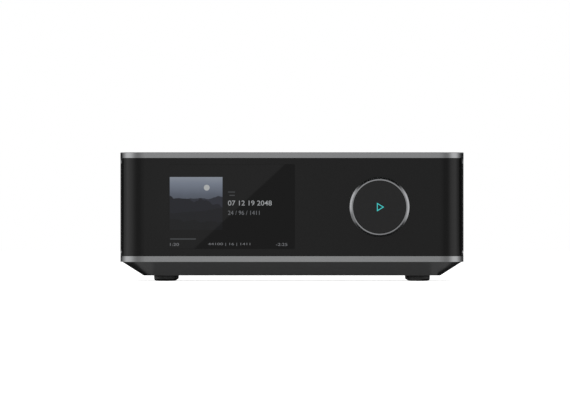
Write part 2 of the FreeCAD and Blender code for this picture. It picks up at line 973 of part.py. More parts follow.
def make_post_cap(x):
    start = rear_y + cap_start
    end = start + cap_length
    profile = [
        (post_stem_radius + running_gap, start),
        (cap_radius - cap_chamfer, start),
        (cap_radius, start + cap_chamfer),
        (cap_radius, end - cap_chamfer),
        (cap_radius - cap_chamfer, end),
        (cap_hole_radius, end),
        (cap_hole_radius, end - cap_end),
        (post_stem_radius + running_gap, end - cap_end),
    ]
    cap = turned_y(x, post_row_height, profile)
    flutes = []
    for step in range(cap_flutes):
        angle = 2 * math.pi * step / cap_flutes
        flute_x = x + cap_radius * math.cos(angle)
        flute_z = post_row_height + cap_radius * math.sin(angle)
        flutes.append(rod_y(cap_flute_radius, flute_x, flute_z, start - overshoot, end + overshoot))
    return cap.cut(flutes)


def make_speaker_tabs():
    pieces = []
    for x in post_places():
        inner = panel_inner - post_stem_inside
        bar = block(x - tab_width / 2, x + tab_width / 2, inner - tab_thickness, inner,
                    lower_top, post_row_height + tab_width / 2)
        foot = block(x - tab_width / 2, x + tab_width / 2, amp_rear - tab_width, inner,
                     lower_top, lower_top + tab_thickness)
        pieces.append(fused([bar, foot]))
    return Part.makeCompound(pieces)


# Sockets

def make_phono_jacks():
    pieces = []
    for step in phono_steps:
        x = row_place(step)
        neck_end = panel_outer + collar_length
        neck = rod_y(phono_neck_radius, x, row_height, panel_inner - bond_gap, neck_end)
        barrel = rod_y(phono_radius, x, row_height, neck_end, panel_outer + phono_reach)
        body = block(x - phono_body_half, x + phono_body_half, panel_inner - phono_body_depth,
                     panel_inner - bond_gap, main_top, row_height + phono_body_half)
        bore = rod_y(phono_bore_radius, x, row_height, panel_outer + phono_reach - phono_bore_depth,
                     panel_outer + phono_reach + overshoot)
        pieces.append(fused([neck, barrel, body]).cut(bore))
    return Part.makeCompound(pieces)


def make_jack_collars():
    pieces = []
    for step in phono_steps:
        x = row_place(step)
        collar = rod_y(collar_radius, x, row_height, panel_outer, panel_outer + collar_length)
        hole = rod_y(phono_neck_radius, x, row_height, panel_outer - overshoot,
                     panel_outer + collar_length + overshoot)
        pieces.append(collar.cut(hole))
    return Part.makeCompound(pieces)


def make_trigger_jack():
    half = trigger_nut_radius + socket_fit
    body = block(trigger_x - half, trigger_x + half, panel_inner - trigger_depth, panel_inner - bond_gap,
                 main_top, row_height + half)
    mouth = panel_outer + trigger_nut_length
    barrel = rod_y(trigger_radius, trigger_x, row_height, panel_inner - bond_gap, mouth)
    nut = rod_y(trigger_nut_radius, trigger_x, row_height, panel_outer, mouth)
    bore = rod_y(trigger_bore_radius, trigger_x, row_height, mouth - trigger_bore_depth, mouth + overshoot)
    return fused([body, barrel, nut]).cut(bore)


shutter_top = optical_z + optical_bore / 2
shutter_y = panel_outer - shutter_setback - shutter_thickness / 2
shutter_pivot_z = shutter_top - shutter_gap - shutter_pin_radius


def make_optical_socket():
    body = centred_block(optical_x, optical_z, optical_width, optical_height,
                         panel_outer - optical_depth, panel_outer)
    bore = centred_block(optical_x, optical_z, optical_bore, optical_bore,
                         panel_outer - optical_bore_depth, panel_outer + overshoot)
    pin_reach = optical_bore / 2 + socket_wall
    pivot = Part.makeCylinder(shutter_pin_radius + running_gap, 2 * pin_reach,
                              Vector(optical_x - pin_reach, shutter_y, shutter_pivot_z), Vector(1, 0, 0))
    return body.cut([bore, pivot])


def make_optical_shutter():
    half = optical_bore / 2 - shutter_gap
    front = shutter_y - shutter_thickness / 2
    bottom = optical_z - optical_bore / 2 + shutter_gap
    flap = block(optical_x - half, optical_x + half, front, front + shutter_thickness,
                 bottom, shutter_pivot_z)
    pin_reach = optical_bore / 2 + socket_wall - shutter_gap
    pin = Part.makeCylinder(shutter_pin_radius, 2 * pin_reach,
                            Vector(optical_x - pin_reach, shutter_y, shutter_pivot_z), Vector(1, 0, 0))
    return fused([flap, pin])


def tongue_socket(x, z, width, height, depth, reach):
    # a plug socket with a bent metal wall and a flat tongue in its middle
    shell = centred_block(x, z, width, height, panel_outer - depth, panel_outer + reach)
    bore = centred_block(x, z, width - 2 * socket_wall, height - 2 * socket_wall,
                         panel_outer - depth + 2 * socket_wall, panel_outer + reach + overshoot)
    tongue = centred_block(x, z, width - 2 * socket_wall - 2 * tongue_side_gap, tongue_thickness,
                           panel_outer - depth + socket_wall, panel_outer - socket_wall)
    return fused([shell.cut(bore), tongue])


def make_network_socket():
    body = centred_block(network_x, network_z, network_width, network_height,
                         panel_outer - network_depth, panel_outer + panel_fit)
    bore = centred_block(network_x, network_z, network_bore_width, network_bore_height,
                         panel_outer - network_bore_depth, panel_outer + overshoot)
    key = centred_block(network_x, network_z - network_bore_height / 2, network_bore_width / 2,
                        network_bore_height / 4, panel_outer - network_bore_depth, panel_outer + overshoot)
    return body.cut([bore, key])


def make_mains_inlet():
    z = post_row_height
    lip = centred_block(inlet_x, z, inlet_width, inlet_height, panel_outer, panel_outer + inlet_lip)
    body = centred_block(inlet_x, z, inlet_width - 2 * inlet_body_inset,
                         inlet_height - 2 * inlet_body_inset, panel_outer - inlet_depth, panel_outer)
    back = panel_outer + inlet_lip - inlet_bore_depth
    mouth = panel_outer + inlet_lip + overshoot
    half = inlet_lobe_spacing / 2
    lobes = [rod_y(inlet_lobe_radius, inlet_x + side * half, z, back, mouth) for side in (-1, 1)]
    waist = centred_block(inlet_x, z, inlet_lobe_spacing, inlet_waist, back, mouth)
    return fused([lip, body]).cut(lobes + [waist])


def make_mains_pins():
    back = panel_outer + inlet_lip - inlet_bore_depth
    pins = [
        rod_y(pin_radius, inlet_x + side * pin_spacing / 2, post_row_height, back, back + pin_length)
        for side in (-1, 1)
    ]
    return Part.makeCompound(pins)


def make_setup_button():
    head = rod_y(setup_radius, setup_x, row_height, panel_inner - setup_travel, panel_outer + setup_reach)
    start = panel_inner - setup_play - setup_shoulder_thickness
    shoulder = rod_y(setup_radius + setup_shoulder, setup_x, row_height, start, panel_inner - setup_play)
    stem = rod_y(setup_radius / 2, setup_x, row_height, start - setup_stem_length, panel_inner)
    return fused([head, shoulder, stem])


# Boards

def pillar_holes(z0, z1, places, radius):
    return [rod_z(radius, x, y, z0, z1) for x, y in places]


def make_lower_board(x0, x1, y0, y1):
    board = block(x0, x1, y0, y1, lower_board_level, lower_top)
    z0 = lower_board_level - overshoot
    z1 = lower_top + overshoot
    clear = pillar_holes(z0, z1, main_pillar_places(), pillar_radius + board_clear)
    bolts = pillar_holes(z0, z1, lower_pillar_places(), board_hole)
    return board.cut(clear + bolts)


def make_main_board():
    side = board_side + main_pillar_side / 2
    board = block(-side, side, main_front, panel_inner - board_rear_gap, main_board_level, main_top)
    z0 = main_board_level - overshoot
    bolts = pillar_holes(z0, main_top + overshoot, main_pillar_places(), board_hole)
    return board.cut(bolts)


def make_board_pillars():
    pieces = []
    tops = [(place, lower_board_level) for place in lower_pillar_places()]
    tops += [(place, main_board_level) for place in main_pillar_places()]
    for (x, y), top in tops:
        pillar = rod_z(pillar_radius, x, y, floor_top, top)
        pieces.append(pillar.cut(rod_z(pillar_bore_radius, x, y, floor_top - overshoot, top + overshoot)))
    return Part.makeCompound(pieces)


def make_board_screws():
    pieces = []
    tops = [(place, lower_top) for place in lower_pillar_places()]
    tops += [(place, main_top) for place in main_pillar_places()]
    seat = base_bottom + board_head_height
    long_shank = board_thickness + board_thread_depth
    short_shank = base_floor - board_head_height + board_thread_depth / 2
    for (x, y), top in tops:
        for z, way, length in ((top, -1, long_shank), (seat, 1, short_shank)):
            pieces.append(screw((x, y, z), (0, 0, way), board_head_radius, board_head_height,
                                board_shank_radius, length))
    return Part.makeCompound(pieces)


def make_insulation_sheet():
    top = floor_top + sheet_thickness
    sheet = block(supply_board_left, board_side, supply_front, supply_rear, floor_top, top)
    places = lower_pillar_places() + main_pillar_places()
    return sheet.cut(pillar_holes(floor_top - overshoot, top + overshoot, places, pillar_radius + screw_play))


def finned_sink(x0, x1, y0, y1, z0, base, height, fin, count):
    sink = [block(x0, x1, y0, y1, z0, z0 + base)]
    gap = (x1 - x0 - fin) / (count - 1)
    for step in range(count):
        left = x0 + step * gap
        sink.append(block(left, left + fin, y0, y1, z0, z0 + height))
    return fused(sink)


def make_amp_heatsink():
    middle = (-board_side + amp_board_right) / 2
    x0 = middle - heatsink_width / 2
    return finned_sink(x0, x0 + heatsink_width, heatsink_start, heatsink_start + heatsink_depth,
                       lower_top, heatsink_base, heatsink_height, heatsink_fin, heatsink_fins)


def make_output_coils():
    middle = (-board_side + amp_board_right) / 2
    y = amp_can_row + amp_can_radius + coil_can_gap + coil_radius
    pieces = []
    for step in range(coil_count):
        x = middle + (step - (coil_count - 1) / 2) * coil_pitch
        coil = rod_z(coil_radius, x, y, lower_top, lower_top + coil_height)
        pieces.append(coil.cut(rod_z(coil_hole_radius, x, y, lower_top + coil_foot, lower_top + far)))
    return Part.makeCompound(pieces)


def make_amp_capacitors():
    middle = (-board_side + amp_board_right) / 2
    cans = []
    for step in range(amp_can_count):
        x = middle + (step - (amp_can_count - 1) / 2) * amp_can_pitch
        cans.append(rod_z(amp_can_radius, x, amp_can_row, lower_top, lower_top + amp_can_height))
    return Part.makeCompound(cans)


def make_supply_transformer():
    x = (supply_board_left + board_side) / 2
    y = supply_front + transformer_front
    winding = block(x - transformer_width / 2, x + transformer_width / 2, y, y + transformer_depth,
                    lower_top, lower_top + transformer_height)
    core_half = transformer_width / 2 + transformer_core_edge
    core_front = y + (transformer_depth - transformer_core) / 2
    core = block(x - core_half, x + core_half, core_front, core_front + transformer_core,
                 lower_top, lower_top + transformer_height + transformer_core_rise)
    return fused([winding, core])


def make_bulk_capacitors():
    x = (supply_board_left + board_side) / 2
    cans = []
    for can_x in (x - bulk_can_pitch / 2, x + bulk_can_pitch / 2):
        for row in (0, 1):
            y = supply_front + bulk_can_front + row * bulk_can_pitch
            cans.append(rod_z(bulk_can_radius, can_x, y, lower_top, lower_top + bulk_can_height))
    return Part.makeCompound(cans)


def make_radio_shield():
    y = main_front + radio_front
    top = main_top + radio_height
    can = block(radio_left, radio_left + radio_width, y, y + radio_depth, main_top, top)
    edges = [edge for edge in can.Edges if edge.BoundBox.ZMin > main_top + radio_height / 2]
    return can.makeChamfer(edge_round, edges)


def make_processor_spreader():
    y = main_front + spreader_front
    return finned_sink(spreader_left, spreader_left + spreader_size, y, y + spreader_size, main_top,
                       spreader_base, spreader_height, spreader_fin, spreader_fins)


def make_supply_harness():
    pieces = []
    x0 = amp_board_right - harness_inset
    x1 = supply_board_left + harness_inset
    top = lower_top + harness_rise
    for step in range(harness_wires):
        y = amp_front + harness_front + step * harness_pitch
        points = [Vector(x0, y, lower_top), Vector(x0, y, top), Vector(x1, y, top), Vector(x1, y, lower_top)]
        pieces.append(bent_wire(points, harness_radius, harness_bend))
    return Part.makeCompound(pieces)


def make_wifi_antennas():
    pieces = []
    radio_y = main_front + radio_front + radio_depth / 2
    plug = main_top + radio_height
    plate_top = lead_height + 2 * antenna_lead_radius
    bracket_right = display_offset + window_half_width + bracket_margin
    between = (bracket_right + knob_offset - flange_half) / 2
    outer = half_width - antenna_side + antenna_width / 2
    for x, landing in ((between, radio_left + radio_width / 4), (outer, radio_left + radio_width * 3 / 4)):
        left = x - antenna_width / 2
        plate = block(left, left + antenna_width, frame_back, frame_back + antenna_thickness,
                      plate_top - antenna_height, plate_top)
        lead = bent_wire(
            [
                Vector(x, frame_back, lead_height),
                Vector(x, main_front - 2 * antenna_lead_bend, lead_height),
                Vector(landing, radio_y, lead_height),
                Vector(landing, radio_y, plug),
            ],
            antenna_lead_radius,
            antenna_lead_bend,
        )
        pieces.append(fused([plate, lead]))
    return Part.makeCompound(pieces)


def ribbon(x, width, start_y, start_z):
    # from a board at the front, back at one level, then down onto the main board
    t = ribbon_thickness
    drop = main_front + ribbon_drop_inset
    points = [
        (start_y, start_z),
        (start_y, ribbon_level + t),
        (drop + t, ribbon_level + t),
        (drop + t, main_top),
        (drop, main_top),
        (drop, ribbon_level),
        (start_y + t, ribbon_level),
        (start_y + t, start_z),
    ]
    outline_points = [Vector(x - width / 2, y, z) for y, z in points]
    face = Part.Face(Part.makePolygon(outline_points + outline_points[:1]))
    return face.extrude(Vector(width, 0, 0))


def make_display_ribbon():
    return ribbon(display_offset, display_ribbon_width, frame_back + bracket_thickness,
                  mid_height - display_height / 4)


def make_knob_ribbon():
    return ribbon(knob_offset, knob_ribbon_width, knob_board_back, mid_height - flange_half / 2)


nodes = {
    "case_shell": make_case_shell,
    "front_fascia": make_front_fascia,
    "front_frame": make_front_frame,
    "base_tray": make_base_tray,
    "foot_pads": make_foot_pads,
    "case_screws": make_case_screws,
    "rear_panel": make_rear_panel,
    "volume_ring": make_volume_ring,
    "encoder_wheel": make_encoder_wheel,
    "play_button": make_play_button,
    "play_sign": make_play_sign,
    "button_clip": make_button_clip,
    "switch_plunger": make_switch_plunger,
    "knob_bearing": make_knob_bearing,
    "encoder_sensor": make_encoder_sensor,
    "push_switch": make_push_switch,
    "knob_board": make_knob_board,
    "display_panel": make_display_panel,
    "display_bracket": make_display_bracket,
    "front_screws": make_front_screws,
    "post_bases": make_post_bases,
    "post_stems": make_post_stems,
    "speaker_tabs": make_speaker_tabs,
    "phono_jacks": make_phono_jacks,
    "jack_collars": make_jack_collars,
    "trigger_jack": make_trigger_jack,
    "optical_socket": make_optical_socket,
    "optical_shutter": make_optical_shutter,
    "hdmi_socket": lambda: tongue_socket(hdmi_x, hdmi_z, hdmi_width, hdmi_height, hdmi_depth, 0),
    "usb_socket": lambda: tongue_socket(usb_x, usb_z, usb_width, usb_height, usb_depth, panel_fit),
    "network_socket": make_network_socket,
    "mains_inlet": make_mains_inlet,
    "mains_pins": make_mains_pins,
    "setup_button": make_setup_button,
    "amp_board": lambda: make_lower_board(-board_side, amp_board_right, amp_front, amp_rear),
    "supply_board": lambda: make_lower_board(supply_board_left, board_side, supply_front, supply_rear),
    "main_board": make_main_board,
    "board_pillars": make_board_pillars,
    "board_screws": make_board_screws,
    "insulation_sheet": make_insulation_sheet,
    "amp_heatsink": make_amp_heatsink,
    "output_coils": make_output_coils,
    "amp_capacitors": make_amp_capacitors,
    "supply_transformer": make_supply_transformer,
    "bulk_capacitors": make_bulk_capacitors,
    "radio_shield": make_radio_shield,
    "processor_spreader": make_processor_spreader,
    "supply_harness": make_supply_harness,
    "wifi_antennas": make_wifi_antennas,
    "display_ribbon": make_display_ribbon,
    "knob_ribbon": make_knob_ribbon,
}

post_names = ("right_minus", "right_plus", "left_minus", "left_plus")

os.makedirs("parts", exist_ok=True)
for node, make in nodes.items():
    make().exportStep("parts/" + node + ".step")
for name, x in zip(post_names, post_places()):
    make_post_washer(x).exportStep("parts/washer_" + name + ".step")
    make_post_cap(x).exportStep("parts/cap_" + name + ".step")

print("front of the case at y", round(front_y, 3), "rear at", round(rear_y, 3))
print("knob axis at x", knob_offset, "z", round(mid_height, 3))
print("posts at x", [round(x, 3) for x in post_places()], "z", post_row_height)
print("shutter pivot at x", round(optical_x, 3), "y", round(shutter_y, 3), "z", round(shutter_pivot_z, 3))
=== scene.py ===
import json
import math
import bmesh
import bpy
from mathutils import Matrix, Vector

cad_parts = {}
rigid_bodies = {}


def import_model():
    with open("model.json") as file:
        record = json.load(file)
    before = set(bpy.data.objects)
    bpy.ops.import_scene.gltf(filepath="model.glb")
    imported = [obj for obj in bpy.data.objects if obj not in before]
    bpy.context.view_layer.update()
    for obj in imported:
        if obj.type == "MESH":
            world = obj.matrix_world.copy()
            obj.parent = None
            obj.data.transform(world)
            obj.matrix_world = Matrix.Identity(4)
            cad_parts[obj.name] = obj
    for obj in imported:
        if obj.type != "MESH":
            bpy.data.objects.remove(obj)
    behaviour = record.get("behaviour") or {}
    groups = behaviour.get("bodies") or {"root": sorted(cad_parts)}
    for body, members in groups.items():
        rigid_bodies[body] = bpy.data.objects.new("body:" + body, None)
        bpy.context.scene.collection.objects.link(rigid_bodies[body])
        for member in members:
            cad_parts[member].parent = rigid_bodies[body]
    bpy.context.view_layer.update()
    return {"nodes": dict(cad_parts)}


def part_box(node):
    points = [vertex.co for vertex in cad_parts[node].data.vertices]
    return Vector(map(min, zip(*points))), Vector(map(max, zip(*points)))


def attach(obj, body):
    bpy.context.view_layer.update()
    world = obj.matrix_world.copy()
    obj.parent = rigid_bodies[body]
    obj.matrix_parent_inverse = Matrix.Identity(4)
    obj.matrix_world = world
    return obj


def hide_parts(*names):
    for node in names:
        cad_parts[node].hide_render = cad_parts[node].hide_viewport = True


for leftover in list(bpy.data.objects):
    bpy.data.objects.remove(leftover)
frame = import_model()
mm = 0.001
bpy.context.scene.view_settings.view_transform = "Standard"
print("frame loaded,", len(frame["nodes"]), "nodes")


# Node sockets as numbers

class Field:  # one socket of a node tree, so that its maths reads as a sum
    def __init__(self, tree, socket=None):
        self.tree = tree
        self.socket = socket

    def node(self, kind, settings=None, sockets=None, output=0):
        made = self.tree.nodes.new(kind)
        for name, value in (settings or {}).items():
            if name == "stops":
                setStops(made.color_ramp, value)
            else:
                setattr(made, name, value)
        for key, value in (sockets or {}).items():
            if isinstance(value, Field):
                self.tree.links.new(value.socket, made.inputs[key])
            else:
                made.inputs[key].default_value = value
        return Field(self.tree, made.outputs[output] if len(made.outputs) else None)

    def beside(self, output):  # another output of the same node
        return Field(self.tree, self.socket.node.outputs[output])

    def maths(self, operation, *parts):
        return self.node("ShaderNodeMath", {"operation": operation}, dict(enumerate(parts)))

    def alone(self, operation):
        return self.maths(operation, self)

    def __add__(self, other):
        return self.maths("ADD", self, other)

    def __radd__(self, other):
        return self.maths("ADD", other, self)

    def __sub__(self, other):
        return self.maths("SUBTRACT", self, other)

    def __rsub__(self, other):
        return self.maths("SUBTRACT", other, self)

    def __mul__(self, other):
        return self.maths("MULTIPLY", self, other)

    def __rmul__(self, other):
        return self.maths("MULTIPLY", other, self)

    def __truediv__(self, other):
        return self.maths("DIVIDE", self, other)

    def __pow__(self, other):
        return self.maths("POWER", self, other)

    def __lt__(self, other):
        return self.maths("LESS_THAN", self, other)

    def __gt__(self, other):
        return self.maths("GREATER_THAN", self, other)


def setStops(ramp, stops):
    while len(ramp.elements) < len(stops):
        ramp.elements.new(0.5)
    for element, (position, color) in zip(ramp.elements, stops):
        element.position = position
        element.color = color


def screenToLight(value):
    share = value / 255
    return share / 12.92 if share <= 0.04045 else ((share + 0.055) / 1.055) ** 2.4


def tone(red, green=None, blue=None):  # screen values from 0 to 255, one of them for a grey
    parts = (red, red if green is None else green, red if blue is None else blue)
    return tuple(screenToLight(part) for part in parts) + (1.0,)


# Finishes

def bareMaterial(name):  # with nothing in its node tree
    material = bpy.data.materials.new(name)
    material.use_nodes = True
    material.node_tree.nodes.clear()
    return material, Field(material.node_tree)


def startFinish(name):
    material, tree = bareMaterial(name)
    return material, tree.node("ShaderNodeTexCoord", output="Object")


def closeFinish(place, sockets):
    shader = place.node("ShaderNodeBsdfPrincipled", {}, sockets)
    place.node("ShaderNodeOutputMaterial", {}, {"Surface": shader})


def grain(place, size, detail=2.0):  # soft spots of about that size, from 0 to 1
    return place.node("ShaderNodeTexNoise", {}, {"Vector": place, "Scale": 1 / size, "Detail": detail})


def blendColors(share, first, second):
    return share.node("ShaderNodeMix", {"data_type": "RGBA"}, {0: share, 6: first, 7: second}, 2)


def dented(place, height, depth):
    return place.node("ShaderNodeBump", {}, {"Height": height, "Distance": depth})


def axes(place):
    x = place.node("ShaderNodeSeparateXYZ", {}, {0: place})
    return x, x.beside("Y"), x.beside("Z")


knobPlace = {"x": 50.96 * mm, "z": 43.2 * mm}


def roundTheKnob(place):  # distance from the knob's axis
    x, y, z = axes(place)
    return ((x - knobPlace["x"]) ** 2 + (z - knobPlace["z"]) ** 2).alone("SQRT")


cloudSize = 30 * mm  # of the slow change between a finish's dark and pale colour


def grainyFinish(name, look):
    material, place = startFinish(name)
    spots = grain(place, look["grain"])
    color = blendColors(grain(place, cloudSize), look["dark"], look["pale"])
    metallic = look.get("metallic", 0.0)
    if "rim" in look:  # painted shade: an edge coloured black, for the gap beside the front glass
        x, y, z = axes(place)
        rim = (y > look["rim"]["near"]) * (y < look["rim"]["far"])
        rim = rim * (z > look["rim"]["low"]) * (z < look["rim"]["high"])
        color = blendColors(rim, color, look["rim"]["color"])
        metallic = (1 - rim) * metallic
    sockets = {
        "Base Color": color,
        "Metallic": metallic,
        "Roughness": look["roughness"] + (spots - 0.5) * look.get("uneven", 0.1),
        "Normal": dented(place, spots, look["depth"]),
    }
    sockets.update(look.get("more", {}))
    closeFinish(place, sockets)
    return material


metalLooks = {
    "caseMetal": {"dark": tone(154, 155, 156), "pale": tone(161, 162, 163), "roughness": 0.2,
                  "uneven": 0.06, "grain": 0.25 * mm, "depth": 0.6e-6,
                  # the rim is painted shade: the cut face at the case's opening, beside the glass's edge,
                  # coloured near black
                  "rim": {"near": -87.25 * mm, "far": -86.95 * mm, "low": 14.6 * mm, "high": 71.8 * mm,
                          "color": tone(8)}},
    "steelSheet": {"dark": tone(150, 151, 153), "pale": tone(176, 177, 179), "roughness": 0.3,
                   "grain": 0.4 * mm, "depth": 1e-6},
    "tinPlate": {"dark": tone(158, 160, 163), "pale": tone(184, 185, 187), "roughness": 0.26,
                 "grain": 0.6 * mm, "depth": 1e-6},
    "goldPlate": {"dark": tone(205, 165, 92), "pale": tone(226, 190, 116), "roughness": 0.22,
                  "grain": 0.5 * mm, "depth": 0.8e-6},
    "blackOxide": {"dark": tone(44, 44, 46), "pale": tone(62, 62, 64), "roughness": 0.38,
                   "grain": 0.3 * mm, "depth": 2e-6},
    "bareSink": {"dark": tone(166, 168, 172), "pale": tone(184, 186, 190), "roughness": 0.42,
                 "grain": 0.35 * mm, "depth": 3e-6},
}
dullLooks = {
    "basePaint": {"dark": tone(22, 23, 24), "pale": tone(27, 28, 29), "roughness": 0.3,
                  "grain": 0.3 * mm, "depth": 5e-6},
    "footRubber": {"dark": tone(44, 44, 45), "pale": tone(54, 54, 55), "roughness": 0.32,
                   "grain": 0.5 * mm, "depth": 8e-6},
    "innerMoulding": {"dark": tone(26, 26, 27), "pale": tone(34, 34, 35), "roughness": 0.6,
                      "grain": 0.4 * mm, "depth": 6e-6},
    "rearMoulding": {"dark": tone(46, 46, 48), "pale": tone(53, 53, 55), "roughness": 0.5,
                     "grain": 0.35 * mm, "depth": 12e-6},
    "socketMoulding": {"dark": tone(28, 28, 30), "pale": tone(36, 36, 38), "roughness": 0.42,
                       "grain": 0.6 * mm, "depth": 3e-6},
    "greyMoulding": {"dark": tone(86, 87, 89), "pale": tone(96, 97, 99), "roughness": 0.45,
                     "grain": 0.5 * mm, "depth": 4e-6},
    "whiteCollar": {"dark": tone(206, 206, 203), "pale": tone(220, 220, 217), "roughness": 0.4,
                    "grain": 0.8 * mm, "depth": 2e-6},
    "redCollar": {"dark": tone(158, 22, 24), "pale": tone(174, 28, 28), "roughness": 0.4,
                  "grain": 0.8 * mm, "depth": 2e-6},
    "blackCollar": {"dark": tone(26, 26, 27), "pale": tone(33, 33, 34), "roughness": 0.4,
                    "grain": 0.8 * mm, "depth": 2e-6},
    "redCap": {"dark": tone(140, 10, 16), "pale": tone(162, 18, 22), "roughness": 0.2, "grain": 1.2 * mm,
               "depth": 2e-6, "more": {"Coat Weight": 0.6, "Coat Roughness": 0.08}},
    "blackCap": {"dark": tone(20, 20, 22), "pale": tone(28, 28, 30), "roughness": 0.2, "grain": 1.2 * mm,
                 "depth": 2e-6, "more": {"Coat Weight": 0.6, "Coat Roughness": 0.08}},
    "canSleeve": {"dark": tone(22, 24, 44), "pale": tone(30, 32, 54), "roughness": 0.3,
                  "grain": 1.0 * mm, "depth": 2e-6},
    "wireCover": {"dark": tone(132, 20, 20), "pale": tone(150, 28, 26), "roughness": 0.5,
                  "grain": 0.6 * mm, "depth": 3e-6},
    "amberFilm": {"dark": tone(196, 170, 104), "pale": tone(212, 188, 124), "roughness": 0.35,
                  "grain": 2.0 * mm, "depth": 3e-6},
    "antennaLaminate": {"dark": tone(30, 31, 33), "pale": tone(40, 41, 43), "roughness": 0.45,
                        "grain": 0.7 * mm, "depth": 4e-6},
    "whiteInk": {"dark": tone(176, 177, 178), "pale": tone(190, 191, 192), "roughness": 0.55,
                 "grain": 0.2 * mm, "depth": 1e-6},
}
for look in metalLooks.values():
    look["metallic"] = 1.0
finishes = {name: grainyFinish(name, look) for name, look in {**metalLooks, **dullLooks}.items()}

turnedLooks = {
    "turnedMetal": {"dark": tone(154, 155, 157), "pale": tone(164, 165, 167), "grain": 0.3 * mm,
                    "pitch": 0.12 * mm, "depth": 0.5e-6, "roughness": 0.2, "uneven": 0.04, "metallic": 1.0,
                    # bore: painted shade, black from the axis out to the ring's inner edge
                    "specular": 0.5, "bore": {"radius": 15.52 * mm, "color": tone(8)}},
    "buttonFace": {"dark": tone(11, 11, 12), "pale": tone(14, 14, 15), "grain": 0.3 * mm,
                   "pitch": 0.18 * mm, "depth": 0.6e-6, "roughness": 0.42, "uneven": 0.04, "metallic": 0.0,
                   "specular": 0.42},
}


def turnedFinish(name, look):  # fine rings left by the lathe
    material, place = startFinish(name)
    radius = roundTheKnob(place)
    marks = (radius * (2 * math.pi / look["pitch"])).alone("SINE") * 0.5 + 0.5
    color = blendColors(grain(place, look["grain"]), look["dark"], look["pale"])
    metallic = look["metallic"]
    if "bore" in look:  # painted shade: black inside the bore, as far as the inner edge
        paintedBoreShade = radius < look["bore"]["radius"]
        color = blendColors(paintedBoreShade, color, look["bore"]["color"])
        metallic = (1 - paintedBoreShade) * metallic
    closeFinish(place, {
        "Base Color": color,
        "Metallic": metallic,
        "Roughness": look["roughness"] + (marks - 0.5) * look["uneven"],
        "Specular IOR Level": look["specular"],
        "Normal": dented(place, marks, look["depth"]),
    })
    return material


for name, look in turnedLooks.items():
    finishes[name] = turnedFinish(name, look)

glassLooks = {
    "fasciaGlass": {"color": tone(5), "dusty": tone(7), "roughness": 0.12, "dust": 0.02, "specular": 0.3},
    "screenGlass": {"color": tone(2), "dusty": tone(4), "roughness": 0.01, "dust": 0.005, "specular": 0.22},
}
glassGrain = {"smear": 12 * mm, "fine": 0.8 * mm, "depth": 0.4e-6}


def glassFinish(name, look):  # black glass, printed behind
    material, place = startFinish(name)
    smear = grain(place, glassGrain["smear"], detail=4.0)
    fine = grain(place, glassGrain["fine"])
    closeFinish(place, {
        "Base Color": blendColors(fine, look["color"], look["dusty"]),
        "Roughness": look["roughness"] + smear * look["dust"],
        "Specular IOR Level": look["specular"],
        "Normal": dented(place, smear, glassGrain["depth"]),
    })
    return material


for name, look in glassLooks.items():
    finishes[name] = glassFinish(name, look)

litColors = {
    "titleLight": tone(148, 150, 152),
    "wordLight": tone(98, 100, 103),
    "rowLight": tone(108, 109, 112),
    "barLight": tone(58, 60, 62),
    "signLight": tone(64, 194, 192),
}
litSurface = {"unlit": tone(6), "cell": 0.25 * mm, "dim": 0.9, "bright": 1.1, "roughness": 0.05,
              "uneven": 0.02, "specular": 0.3, "strength": 1.0}


def litFinish(name, color):  # a lit patch under glass
    material, place = startFinish(name)
    cells = grain(place, litSurface["cell"])
    dim = tuple(part * litSurface["dim"] for part in color[:3]) + (1.0,)
    bright = tuple(part * litSurface["bright"] for part in color[:3]) + (1.0,)
    closeFinish(place, {
        "Base Color": litSurface["unlit"],
        "Roughness": litSurface["roughness"] + cells * litSurface["uneven"],
        "Specular IOR Level": litSurface["specular"],
        "Emission Color": blendColors(cells, dim, bright),
        "Emission Strength": litSurface["strength"],
    })
    return material


for name, color in litColors.items():
    finishes[name] = litFinish(name, color)

boardLook = {"mask": tone(20, 72, 50), "track": tone(28, 92, 62), "pitch": 1.6 * mm, "width": 0.3,
             "bend": 14 * mm, "wander": 20 * mm, "roughness": 0.34, "uneven": 0.08, "depth": 20e-6}


def boardFinish(name, look):  # copper tracks that show through the green mask
    material, place = startFinish(name)
    x, y, z = axes(place)
    bends = grain(place, look["bend"], detail=0.0)
    lanes = ((x + y + bends * look["wander"]) / look["pitch"]).alone("FRACT")
    track = lanes < look["width"]
    closeFinish(place, {
        "Base Color": blendColors(track, look["mask"], look["track"]),
        "Roughness": look["roughness"] + track * look["uneven"],
        "Normal": dented(place, track, look["depth"]),
    })
    return material


stripeLooks = {
    "copperWinding": {"first": tone(176, 98, 52), "second": tone(120, 60, 30), "pitch": 0.8 * mm,
                      "way": "z", "metallic": 0.8, "roughness": 0.35, "uneven": 0.05},
    "windingTape": {"first": tone(214, 180, 64), "second": tone(196, 162, 52), "pitch": 5.0 * mm,
                    "way": "z", "metallic": 0.0, "roughness": 0.4, "uneven": 0.05},
    "ribbonFilm": {"first": tone(196, 150, 82), "second": tone(150, 100, 46), "pitch": 1.0 * mm,
                   "way": "x", "metallic": 0.2, "roughness": 0.38, "uneven": 0.05},
}


def stripedFinish(name, look):
    material, place = startFinish(name)
    along = dict(zip("xyz", axes(place)))[look["way"]]
    wave = (along * (2 * math.pi / look["pitch"])).alone("SINE") * 0.5 + 0.5
    closeFinish(place, {
        "Base Color": blendColors(wave, look["second"], look["first"]),
        "Metallic": look["metallic"],
        "Roughness": look["roughness"] + wave * look["uneven"],
        "Normal": dented(place, wave, look["pitch"] / 10),
    })
    return material


finishes["boardMask"] = boardFinish("boardMask", boardLook)
for name, look in stripeLooks.items():
    finishes[name] = stripedFinish(name, look)

